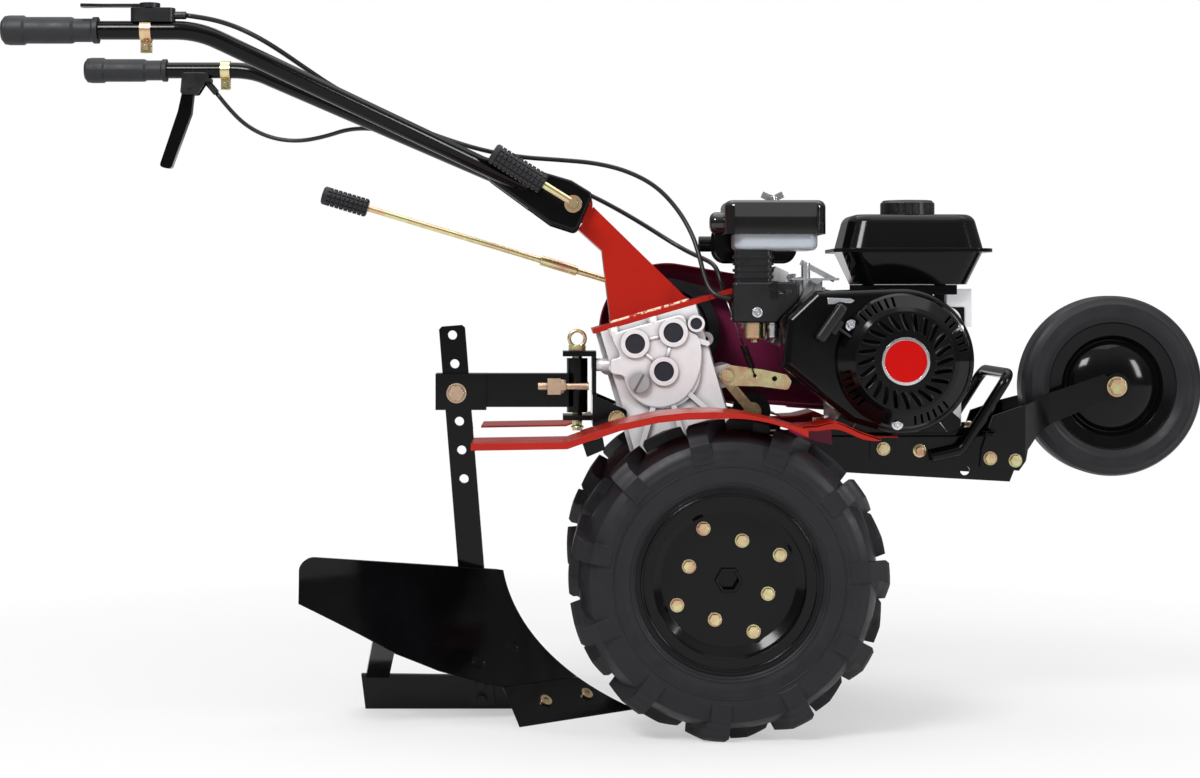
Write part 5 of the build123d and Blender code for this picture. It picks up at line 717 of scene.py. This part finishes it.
@dataclass
class Gearbox(SubAssembly):
    """The cast gearcase with its shafts."""

    finishes: Coats = (
        (CAST_ALUMINIUM, ("gearcase_halves",)),
        (PLUG_RUBBER, ("case_plugs",)),
        (CAST_IRON, ("input_gear_shaft",)),
        (BRIGHT_STEEL, ("counter_gear_shaft", "output_sprocket_shaft", "drive_chain", "shaft_bearings")),
    )
    patches: Patches = (
        (
            "case_plugs",
            Patch(GREY_PLASTIC, (-125.0, -95.0, 443.0), (-96.0, -60.0, 472.0), (-77.5, 472.5), beyond=15.0),
        ),
    )
    # The raised housing's outline, as the control points of a smooth curve.
    housing: Outline = (
        (-148.0, 523.0), (-110.0, 534.0), (-70.0, 545.0), (-52.0, 549.5), (-46.0, 541.0),
        (-43.0, 527.0), (-31.0, 522.0), (-25.5, 507.0), (-25.5, 483.0), (-30.0, 464.0), (-39.0, 446.0),
        (-52.0, 432.0), (-70.0, 423.5), (-88.0, 422.0), (-106.0, 427.0), (-120.0, 438.0),
        (-128.0, 453.0), (-131.0, 467.0), (-149.0, 468.0), (-149.5, 478.0), (-149.0, 489.0),
        (-136.0, 490.0), (-138.0, 500.0), (-146.0, 512.0), (-148.0, 523.0),
    )
    housing_middle: Point = (-85.0, 485.0)
    # The y of each step of the housing's rim, with its share of the outline.
    rim: Outline = ((-73.5, 1.0), (-79.0, 1.0), (-80.8, 0.992), (-81.8, 0.975), (-82.0, 0.955), (-82.0, 0.94))
    shafts: Outline = ((-116.2, 510.4), (-63.8, 524.2), (-77.6, 473.1))
    bore: float = 16.0
    # The ends of each rib that ties two plugs' rings together.
    links: tuple[tuple[Point, Point], ...] = (
        ((-99.8, 514.7), (-80.2, 519.9)),
        ((-68.2, 507.8), (-73.2, 489.5)),
        ((-104.0, 498.6), (-89.8, 484.9)),
    )
    link_radius: float = 2.6
    link_sides: int = 12
    # Bosses under the post's plate: how far down each step lies, with its radius.
    bosses: Outline = ((-146.0, 531.5), (-93.0, 546.0))
    boss_y: float = -76.0
    boss_steps: Outline = ((0.0, 6.6), (9.5, 6.2), (12.0, 5.4), (13.6, 3.6), (14.0, 1.5))
    # The horn that meets the hitch: the x of each step, with its radius.
    horn: Outline = ((-167.3, 8.6), (-158.0, 8.8), (-150.0, 9.4), (-144.0, 11.0), (-139.0, 14.0))
    horn_yz: Point = (-28.0, 479.5)
    round_steps: int = 32

    def details(self) -> None:
        """Raises the housing round the gears, with its links, bosses and horn."""
        self.raise_housing()
        face = self.rim[-1][0]
        for k, ends in enumerate(self.links):
            spots = [row(x, face, z) for x, z in ends]
            rib = tube(f"case_link_{k}", spots, self.link_radius, self.link_sides, CAST_ALUMINIUM)
            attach(rib, "chassis")
        down = Vector((math.sin(CASE_LEAN), 0.0, -math.cos(CASE_LEAN)))
        for k, (x, z) in enumerate(self.bosses):
            top = row(x, self.boss_y, z)
            steps = [(top + down * (far * MM), radius) for far, radius in self.boss_steps]
            self.round_form(f"case_boss_{k}", steps, down)
        steps = [(row(x, *self.horn_yz), radius) for x, radius in self.horn]
        self.round_form("case_horn", steps, Vector((1.0, 0.0, 0.0)))

    def raise_housing(self) -> None:
        """Makes the housing's plate, open where the shafts come through."""
        outline = smooth_line("housing_outline", tuple((x, 0.0, z) for x, z in self.housing))[:-1]
        middle = row(self.housing_middle[0], 0.0, self.housing_middle[1])
        sections = []
        for y, share in self.rim:
            across = Vector((0.0, y * MM, 0.0))
            sections.append([middle.lerp(spot, share) + across for spot in outline])
        mesh = loft(sections, Ends.OPEN)
        ends = (self.rim[0][0], self.rim[-1][0])
        for shaft in self.shafts:
            loft([circle(shaft, y, self.bore, self.round_steps) for y in ends], Ends.OPEN, mesh)
        for y in ends:
            edges = [e for e in mesh.edges if e.is_boundary and abs(e.verts[0].co.y - y * MM) < 1e-6]
            bmesh.ops.triangle_fill(mesh, edges=edges, use_beauty=True, normal=(0.0, -1.0, 0.0))
        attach(piece("case_housing", mesh, CAST_ALUMINIUM), "chassis")

    def round_form(self, name: str, steps: list[tuple[Vector, float]], along: Vector) -> None:
        """Lofts a cast round form.

        Args:
            name: Its name.
            steps: Middles in the row frame, each with its radius in millimetres.
            along: The direction of its axis.
        """
        side = Vector((0.0, 1.0, 0.0))
        up = along.cross(side)
        ways = [side * math.cos(t) + up * math.sin(t) for t in turns(self.round_steps)]
        mesh = loft([[middle + way * (radius * MM) for way in ways] for middle, radius in steps])
        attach(piece(name, mesh, CAST_ALUMINIUM, rounded=True), "chassis")


@dataclass
class Handles(SubAssembly):
    """The post, the tilting handlebar and the hand levers."""

    finishes: Coats = (
        (RED_ENAMEL, ("handle_post",)),
        (BLACK_ENAMEL, ("handlebar", "clutch_lever")),
        (GRIP_RUBBER, ("handle_grips", "clamp_lever_grip", "gear_lever_grip")),
        (YELLOW_ZINC, ("control_clamps", "clamp_lever", "gear_lever")),
        (BLACK_PLASTIC, ("control_housings", "throttle_lever")),
    )
    foot_back: Point = (-147.9, 537.3)
    foot_front: Point = (-39.4, 568.9)
    foot_half: float = 30.5
    bead_radius: float = 2.6
    bead_steps: int = 40
    bead_sides: int = 10

    def details(self) -> None:
        """Lays a painted weld bead along each foot of the post."""
        for name, side in SIDES:
            back, front = [row(x, side * self.foot_half, z) for x, z in (self.foot_back, self.foot_front)]
            spots = [back.lerp(front, k / self.bead_steps) for k in range(self.bead_steps + 1)]
            bead = tube(f"{name}_foot_bead", spots, self.bead_radius, self.bead_sides, PALE_SPOTTED_WELD)
            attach(bead, "chassis")


@dataclass
class Engine(SubAssembly):
    """The engine with its tank, filter, carburettor and starter."""

    finishes: Coats = (
        (CAST_ALUMINIUM, ("crankcase",)),
        (CAST_IRON, ("crankshaft",)),
        (BLACK_ENAMEL, ("fan_shroud", "recoil_cover", "fuel_tank", "muffler")),
        (RED_PLASTIC, ("recoil_badge",)),
        (BLACK_PLASTIC, ("starter_grip", "fuel_cap", "intake_duct")),
        (GRIP_RUBBER, ("starter_rope",)),
        (GLOSS_PLASTIC, ("air_filter_cover", "choke_lever")),
        (CLEAR_PLASTIC, ("air_filter_bowl",)),
        (WHITE_ZINC, ("carburettor",)),
    )
    patches: Patches = (
        ("carburettor", Patch(YELLOW_ZINC, (28.0, -95.0, 500.0), (61.4, -55.0, 552.0))),
        ("crankcase", Patch(BLACK_ENAMEL, (130.0, -90.0, 380.0), (352.0, 90.0, 426.0))),
        ("crankcase", Patch(WHITE_ZINC, (60.0, -90.0, 590.0), (140.0, 0.0, 630.0))),
        (
            "recoil_badge",
            Patch(CHROME, (190.0, -175.0, 440.0), (285.0, -150.0, 540.0), CRANK_AXIS, beyond=28.2),
        ),
    )
    # The fins beside the starter cover's slots, which bow away from the slot in their middle.
    cover_face: float = -161.1
    fins: int = 24
    fin_radius: float = 52.0
    fin_half: float = 12.0
    fin_slant: float = 22.0
    fin_off: float = 4.4
    fin_bow: float = 1.6
    fin_thick: float = 1.9
    fin_steps: int = 12
    fin_sides: int = 10
    cover_screws: Outline = ((167.9, 535.0), (310.2, 530.0), (228.7, 404.5))
    cover_screw_half: float = 4.4
    frame_screw: Point = (269.0, 365.0)
    frame_screw_half: float = 5.2
    duct_screw: Point = (48.3, 552.0)
    duct_screw_half: float = 4.0
    tank_sheet: Outline = ((176.0, 576.0), (322.0, 576.0), (322.0, 589.4), (176.0, 589.4))
    tank_sheet_ys: Point = (-68.0, -66.0)
    clip: Outline = (
        (137.5, 572.0), (169.0, 570.5), (174.0, 568.0), (169.0, 564.5), (153.0, 565.5), (148.0, 562.5),
        (138.5, 563.0),
    )
    clip_seat: Point = (155.0, 567.0)
    clip_thick: float = 1.6
    head_sheet: Outline = ((300.0, 520.0), (334.0, 520.0), (334.0, 559.0), (300.0, 559.0))
    head_sheet_seat: Point = (338.0, 540.0)
    head_sheet_thick: float = 2.0
    # How deep a sheet is sunk in the face that it lies on.
    sunk: float = 0.2

    def details(self) -> None:
        """Presses the cover's fins, sets the screws and folds the sheets."""
        for k in range(self.fins):
            self.fin(k)
        for k, middle in enumerate(self.cover_screws):
            screw(f"cover_screw_{k}", "recoil_cover", middle, self.cover_screw_half, WHITE_ZINC)
        screw("frame_screw", "engine_frame", self.frame_screw, self.frame_screw_half, YELLOW_ZINC)
        screw("duct_screw", "intake_duct", self.duct_screw, self.duct_screw_half, WHITE_ZINC)
        folded("tank_sheet", self.tank_sheet, self.tank_sheet_ys, BLACK_ENAMEL)
        face = surface("fan_shroud", *self.clip_seat)
        folded("shroud_clip", self.clip, (face - self.clip_thick, face + self.sunk), WHITE_ZINC)
        face = surface("crankcase", *self.head_sheet_seat)
        folded("head_sheet", self.head_sheet, (face - self.head_sheet_thick, face + self.sunk), BLACK_ENAMEL)

    def fin(self, number: int) -> None:
        """Raises one fin along a slot of the starter cover.

        Args:
            number: Which slot, counted from the front.
        """
        turn = math.tau * number / self.fins
        slant = math.radians(self.fin_slant)
        spots = []
        for k in range(self.fin_steps + 1):
            share = 2.0 * k / self.fin_steps - 1.0
            along = self.fin_half * share
            off = self.fin_off - self.fin_bow * share**2
            u = self.fin_radius + along * math.cos(slant) - off * math.sin(slant)
            v = along * math.sin(slant) + off * math.cos(slant)
            x = CRANK_AXIS[0] + u * math.cos(turn) - v * math.sin(turn)
            z = CRANK_AXIS[1] + u * math.sin(turn) + v * math.cos(turn)
            spots.append(row(x, self.cover_face, z))
        fin = tube(f"cover_fin_{number}", spots, self.fin_thick, self.fin_sides, BLACK_ENAMEL)
        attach(fin, "chassis")


@dataclass
class BeltDrive(SubAssembly):
    """The belt under its guard, with the tension arm."""

    finishes: Coats = (
        (BELT_RUBBER, ("drive_belt",)),
        (YELLOW_ZINC, ("tension_arm",)),
        (CAST_IRON, ("idler_pulley",)),
        # Painted shade: the guard is painted in a wine-red copy of the red enamel.
        (RED_ENAMEL_PAINTED_SHADE, ("belt_guard",)),
        (BLACK_ENAMEL, ("clutch_spring",)),
    )
    # Painted shade: the guard's inner face gets the duller plum copy of its paint.
    patches: Patches = (("belt_guard", Patch(GUARD_INSIDE_PAINTED_SHADE, (-500.0, 131.5, 0.0), (600.0, 132.5, 900.0))),)
    stud_end: float = 125.9
    stud_room: float = 1.0

    def details(self) -> None:
        """Draws the idler stud's end back, to clear the guard as the arm turns."""
        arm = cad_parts["tension_arm"]
        tip = arm.vertex_groups.new(name="stud_tip")
        tip.add([v.index for v in arm.data.vertices if v.co.y > self.stud_end * MM], 1.0, "REPLACE")
        room = arm.modifiers.new("stud_room", "DISPLACE")
        room.direction = "Y"
        room.mid_level = 0.0
        room.strength = -self.stud_room * MM
        room.vertex_group = tip.name


@dataclass
class Chassis(SubAssembly):
    """The engine frame, the bumper, the front wheel and the fenders."""

    finishes: Coats = (
        (BLACK_ENAMEL, ("engine_frame", "front_bumper", "fork_plates", "front_wheel_disc")),
        (FRONT_TYRE_RUBBER, ("front_tyre",)),
        (RED_ENAMEL, ("fenders",)),
        (YELLOW_ZINC, ("chassis_bolts",)),
    )
    patches: Patches = (
        ("chassis_bolts", Patch(WHITE_ZINC, (50.0, -50.0, 630.0), (100.0, -20.0, 730.0))),
        # Painted shade: the fenders' red mounting tabs, which lie in shade, are given black enamel.
        ("fenders", Patch(BLACK_ENAMEL, (195.0, -95.0, 340.0), (245.0, -60.0, 383.0))),
        ("fenders", Patch(BLACK_ENAMEL, (195.0, 60.0, 340.0), (245.0, 95.0, 383.0))),
    )
    stay: Outline = ((-188.0, 379.0), (-161.0, 387.0), (-158.0, 371.0), (-182.0, 361.0))
    stay_ys: Point = (150.0, 128.0)
    lip: Outline = (
        (100.0, 403.0), (120.0, 404.0), (140.0, 408.6), (150.0, 407.8), (160.0, 403.7), (170.0, 398.9),
        (180.0, 394.6), (190.0, 391.2), (205.0, 386.4), (205.0, 383.0), (190.0, 383.5), (180.0, 385.5),
        (170.0, 389.5), (160.0, 394.0), (150.0, 397.5), (140.0, 398.5), (120.0, 396.0), (100.0, 396.5),
    )
    lip_ys: Point = (165.0, 163.4)
    web: Outline = (
        (84.0, 402.0), (120.0, 402.5), (146.0, 406.0), (147.0, 375.0), (127.0, 378.0), (92.0, 389.0),
    )
    web_ys: Point = (110.0, 108.4)
    # The pressed dome of the front wheel's disc: radius, and distance from the wheel's middle.
    dome: Outline = (
        (62.5, 15.0), (61.0, 17.5), (57.0, 21.5), (51.0, 25.5), (43.0, 29.3), (34.0, 32.2),
        (25.0, 34.1), (18.0, 35.0), (15.0, 34.6), (15.0, 16.0),
    )
    dome_steps: int = 72

    def details(self) -> None:
        """Folds the fenders' stays, lips and webs and presses the front wheel's domes."""
        sheets = (
            ("stay", self.stay, self.stay_ys, BLACK_ENAMEL),
            ("lip", self.lip, self.lip_ys, RED_ENAMEL),
            # Painted shade: the webs take the wine-red copy of the fenders' red.
            ("web", self.web, self.web_ys, RED_ENAMEL_PAINTED_SHADE),
        )
        for name, side in SIDES:
            for kind, outline, (start, end), finish in sheets:
                folded(f"{name}_fender_{kind}", outline, (side * start, side * end), finish)
            rings = [circle(FRONT_AXLE, side * y, radius, self.dome_steps) for radius, y in self.dome]
            dome = piece(f"{name}_wheel_dome", loft(rings, Ends.JOINED), BLACK_ENAMEL, rounded=True)
            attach(dome, "front_wheel")


@dataclass
class Plough(SubAssembly):
    """The hitch, the drawbar and the plough body."""

    finishes: Coats = (
        (BLACK_ENAMEL, ("hitch_bracket", "drawbar", "plough_shank", "mouldboard", "share", "landside")),
        (YELLOW_ZINC, ("hitch_pin", "plough_bolts")),
    )
    patches: Patches = (
        ("plough_bolts", Patch(BLACK_ENAMEL, (-350.0, -90.0, 0.0), (-270.0, 30.0, 105.0))),
        ("plough_bolts", Patch(PINK_ZINC, (-380.0, -40.0, 420.0), (-340.0, 40.0, 460.0))),
        ("drawbar", Patch(PINK_ZINC, (-246.0, -44.0, 436.0), (-170.0, -20.5, 462.0))),
        ("drawbar", Patch(PINK_ZINC, (-246.0, 20.5, 436.0), (-170.0, 44.0, 462.0))),
        ("hitch_bracket", Patch(CAST_ALUMINIUM, (-167.0, -36.0, 466.0), (-126.0, 36.0, 492.0))),
    )


@dataclass
class ControlCable:
    """A sheathed control cable on a smooth route."""

    name: str
    node: str
    points: Route
    start: Place
    end: Place
    radius: float = 3.2
    sides: int = 12

    def build(self) -> None:
        """Builds the cable's sheath in place of the frame's cable."""
        spots = smooth_line(self.name + "_route", self.points)
        thing = tube(self.name, spots, self.radius, self.sides, BLACK_PLASTIC)
        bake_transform(thing)
        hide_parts(self.node)


@dataclass
class Cables:
    """The throttle cable, the clutch cable with its bare wire, the pull spring and the starter rope."""

    throttle: Route = (
        (-694.6, -254.0, 932.0), (-668.0, -252.0, 929.0), (-637.0, -241.0, 921.0),
        (-609.0, -222.0, 909.0), (-583.0, -196.0, 894.0), (-556.0, -165.0, 876.0),
        (-519.0, -129.0, 852.0), (-475.0, -98.0, 829.0), (-428.0, -72.0, 808.0), (-378.0, -48.0, 790.0),
        (-326.0, -27.0, 775.0), (-272.0, -12.0, 766.0), (-218.0, -4.0, 763.0), (-168.0, -1.0, 759.0),
        (-124.0, -2.0, 748.0), (-84.0, -6.0, 727.0), (-54.0, -14.0, 694.0), (-35.0, -27.0, 659.0),
        (-26.0, -43.0, 627.0), (-21.0, -58.0, 601.0), (-14.0, -70.0, 582.0), (-1.0, -77.0, 572.0),
        (16.1, -78.0, 570.0),
    )
    clutch: Route = (
        (-732.3, 254.0, 878.7), (-710.0, 254.0, 850.0), (-681.0, 254.0, 825.0), (-646.0, 252.0, 810.0),
        (-608.0, 248.0, 806.0), (-569.0, 236.0, 812.0), (-528.0, 213.0, 823.0), (-483.0, 181.0, 820.0),
        (-433.0, 151.0, 804.0), (-378.0, 119.0, 787.0), (-324.0, 92.0, 770.0), (-270.0, 74.0, 753.0),
        (-220.0, 63.0, 736.0), (-174.0, 56.0, 717.0), (-131.0, 52.0, 694.0), (-93.0, 48.0, 671.0),
        (-61.0, 40.0, 650.0), (-36.0, 23.0, 635.0), (-18.0, -2.0, 626.0), (-7.0, -25.0, 619.0),
        (-1.5, -42.0, 609.0), (2.4, -50.0, 593.0), (7.1, -50.0, 576.7),
    )
    # Where the sheaths start to bend, and the handlebar's pivot.
    still: Place = (-60.0, 0.0, 700.0)
    pivot: Place = (-199.5, 0.0, 700.0)
    wire_radius: float = 1.2
    wire_sides: int = 10
    # How far over the spring the wire ends.
    wire_gap: float = 1.0
    # The eye of the tension arm, which the spring hooks into.
    eye: Place = (48.0, -56.0, 465.5)
    spring_length: float = 54.0
    coil_radius: float = 4.7
    coil_wire: float = 0.9
    coil_sides: int = 8
    coil_steps: int = 24
    coils: int = 11
    hook: float = 10.0
    grip: Place = (141.0, -150.0, 538.0)
    rope_tilt: float = 55.0
    rope_radius: float = 2.0
    rope_length: float = 38.0
    rope_in_grip: float = 4.0
    rope_steps: int = 12
    rope_sides: int = 12

    def build(self) -> None:
        """Builds each cable."""
        ControlCable("throttle_cable_sheath", "throttle_cable", self.throttle, self.still, self.pivot).build()
        ControlCable("clutch_cable_sheath", "clutch_cable", self.clutch, self.still, self.pivot).build()
        self.wire()
        self.spring()
        self.rope()

    def line(self, along: float) -> Vector:
        """Gives a point on the spring's line, measured up from the arm's eye in millimetres."""
        low, high = row(*self.eye), row(*self.clutch[-1])
        return low + (high - low).normalized() * along * MM

    def wire(self) -> None:
        """Builds the bare wire from the sheath's end down to the spring."""
        spots = [row(*self.clutch[-1]), self.line(self.spring_length + self.wire_gap)]
        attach(tube("clutch_wire", spots, self.wire_radius, self.wire_sides, BRIGHT_STEEL), "chassis")

    def spring(self) -> None:
        """Builds the pull spring with a hook at each end."""
        low, high = self.line(0.0), self.line(self.spring_length)
        up = (high - low).normalized()
        out = Vector((0.0, 1.0, 0.0)).cross(up).normalized()
        side = up.cross(out)
        r, top = self.coil_radius, self.spring_length
        half_turn = [*turns(self.coil_steps)[: self.coil_steps // 2], math.pi]
        spots = [(0.0, -r * math.cos(t), r - r * math.sin(t)) for t in reversed(half_turn)]
        steps = self.coil_steps * self.coils
        for k in range(steps + 1):
            turn = math.tau * k / self.coil_steps - math.pi / 2.0
            rise = self.hook + (top - 2 * self.hook) * k / steps
            spots.append((r * math.cos(turn), r * math.sin(turn), rise))
        spots += [(0.0, -r * math.cos(t), top - r + r * math.sin(t)) for t in half_turn]
        places = [low + (out * x + side * y + up * z) * MM for x, y, z in spots]
        thing = tube("pull_spring", places, self.coil_wire, self.coil_sides, BLACK_ENAMEL)
        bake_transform(thing)
        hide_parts("clutch_spring")

    def rope(self) -> None:
        """Builds the starter rope between its grip and the cover."""
        tilt = math.radians(self.rope_tilt)
        way = Vector((math.sin(tilt), 0.0, -math.cos(tilt))) * MM
        start = row(*self.grip)
        shares = [k / self.rope_steps for k in range(self.rope_steps + 1)]
        spots = [start + way * (self.rope_length * share - self.rope_in_grip) for share in shares]
        thing = tube("braided_starter_rope", spots, self.rope_radius, self.rope_sides, GRIP_RUBBER)
        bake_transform(thing)
        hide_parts("starter_rope")


@dataclass(frozen=True)
class Lamp:
    """A soft lamp that faces the machine.

    Args:
        name: The lamp's name.
        place: Where it hangs, in metres.
        size: Its width and height, in metres.
        power: Its power, in watts.
    """

    name: str
    place: Place
    size: Point
    power: float

    def hang(self, aim: Place) -> None:
        """Hangs the lamp.

        Args:
            aim: The place that it faces, in metres.
        """
        data = bpy.data.lights.new(self.name, "AREA")
        data.shape = "RECTANGLE"
        data.size, data.size_y = self.size
        data.energy = self.power
        thing = bpy.data.objects.new(self.name, data)
        thing.location = self.place
        thing.rotation_euler = (Vector(aim) - thing.location).to_track_quat("-Z", "Y").to_euler()
        bpy.context.scene.collection.objects.link(thing)


@dataclass
class Studio:
    """The floor, the light and the camera, in metres."""

    # The camera: its focal length and the middle of its view, in pixels, and its place.
    sensor_mm: float = 36.0
    lens_px: float = 2254.0
    centre_px: Point = (555.6, 297.6)
    eye: Place = (-0.0932, -3.130, 0.572)
    # The paper floor, which glows to white from near the machine outwards.
    floor_size: float = 30.0
    floor_colour: tuple[float, float, float, float] = (0.8, 0.8, 0.8, 1.0)
    near_floor: float = 0.3
    far_floor: float = 1.6
    floor_glow: float = 0.47
    # The light from all round, and how bright the walls and the ceiling look in a mirror.
    fill_light: float = 0.27
    wall_light: float = 0.2
    sky_light: float = 0.75
    wall_top: float = 0.25
    sky_start: float = 0.8
    aim: Place = (0.0, 0.0, 0.45)
    lamps: tuple[Lamp, ...] = (
        Lamp("key_softbox", (-1.6, -2.6, 3.0), (1.3, 1.0), 112.0),
        Lamp("top_softbox", (0.3, 0.4, 3.4), (4.0, 3.0), 62.0),
        Lamp("side_strip", (2.8, -2.0, 1.5), (0.5, 1.2), 42.0),
    )

    def build(self) -> None:
        """Builds the stage."""
        bpy.context.scene.view_settings.view_transform = "Standard"
        self.camera()
        self.world()
        self.floor()
        for lamp in self.lamps:
            lamp.hang(self.aim)

    def camera(self) -> None:
        """Puts the level camera where the picture was taken."""
        data = bpy.data.cameras.new("camera")
        data.sensor_width = self.sensor_mm
        data.lens = self.lens_px / IMAGE_WIDTH * data.sensor_width
        data.shift_x = (IMAGE_WIDTH / 2 - self.centre_px[0]) / IMAGE_WIDTH
        data.shift_y = (self.centre_px[1] - IMAGE_HEIGHT / 2) / IMAGE_WIDTH
        thing = bpy.data.objects.new("camera", data)
        thing.location = self.eye
        thing.rotation_euler = (math.radians(90.0), 0.0, 0.0)
        bpy.context.scene.collection.objects.link(thing)
        bpy.context.scene.camera = thing

    def world(self) -> None:
        """Makes a white surround that the camera sees, and a softer one that lights."""
        world = bpy.data.worlds.new("studio")
        bpy.context.scene.world = world
        world.use_nodes = True
        tree = world.node_tree
        tree.nodes.clear()
        path = add_node(tree, "LightPath").outputs
        way = add_node(tree, "SeparateXYZ", {0: add_node(tree, "TexCoord").outputs["Generated"]})
        sky = add_node(
            tree,
            "MapRange",
            {"Value": way.outputs["Z"]},
            From_Min=self.wall_top,
            From_Max=self.sky_start,
            To_Min=self.wall_light,
            To_Max=self.sky_light,
            interpolation_type="SMOOTHSTEP",
        ).outputs["Result"]
        straight = {0: path["Is Camera Ray"], 1: path["Is Transmission Ray"]}
        clear = add_node(tree, "Math", straight, operation="MAXIMUM").outputs[0]
        shown = add_node(tree, "Math", {0: clear, 1: sky}, operation="MAXIMUM").outputs[0]
        light = add_node(tree, "Background", Color=WHITE, Strength=self.fill_light)
        white = add_node(tree, "Background", {"Strength": shown}, Color=WHITE)
        both = add_node(tree, "MixShader", {0: seen_rays(tree), 1: light.outputs[0], 2: white.outputs[0]})
        add_node(tree, "OutputWorld", {"Surface": both.outputs[0]})

    def floor(self) -> None:
        """Lays a white floor that keeps the shadow."""
        mesh = bpy.data.meshes.new("floor")
        half = self.floor_size / 2
        corners = [(-half, -half, 0), (half, -half, 0), (half, half, 0), (-half, half, 0)]
        mesh.from_pydata(corners, [], [(0, 1, 2, 3)])
        thing = bpy.data.objects.new("floor", mesh)
        bpy.context.scene.collection.objects.link(thing)
        material = bpy.data.materials.new("white_paper")
        material.use_nodes = True
        tree = material.node_tree
        tree.nodes.clear()
        place = add_node(tree, "TexCoord").outputs["Object"]
        away = add_node(tree, "VectorMath", {0: place}, operation="LENGTH").outputs["Value"]
        reach = {"From_Min": self.near_floor, "From_Max": self.far_floor, "To_Min": self.floor_glow}
        far = add_node(tree, "MapRange", {"Value": away}, **reach)
        fade = add_node(tree, "Math", {0: seen_rays(tree), 1: far.outputs["Result"]}, operation="MULTIPLY")
        paper = add_node(tree, "BsdfDiffuse", Color=self.floor_colour)
        glow = add_node(tree, "Emission", Color=WHITE, Strength=1.0)
        both = add_node(tree, "MixShader", {0: fade.outputs[0], 1: paper.outputs[0], 2: glow.outputs[0]})
        add_node(tree, "OutputMaterial", {"Surface": both.outputs[0]})
        mesh.materials.append(material)


def main() -> None:
    """Builds the machine's looks and the stage."""
    logging.basicConfig(level=logging.INFO)
    for group in (DriveWheels(), Gearbox(), Handles(), Engine(), BeltDrive(), Chassis(), Plough()):
        group.build()
    Cables().build()
    Studio().build()


if __name__ == "__main__":
    main()
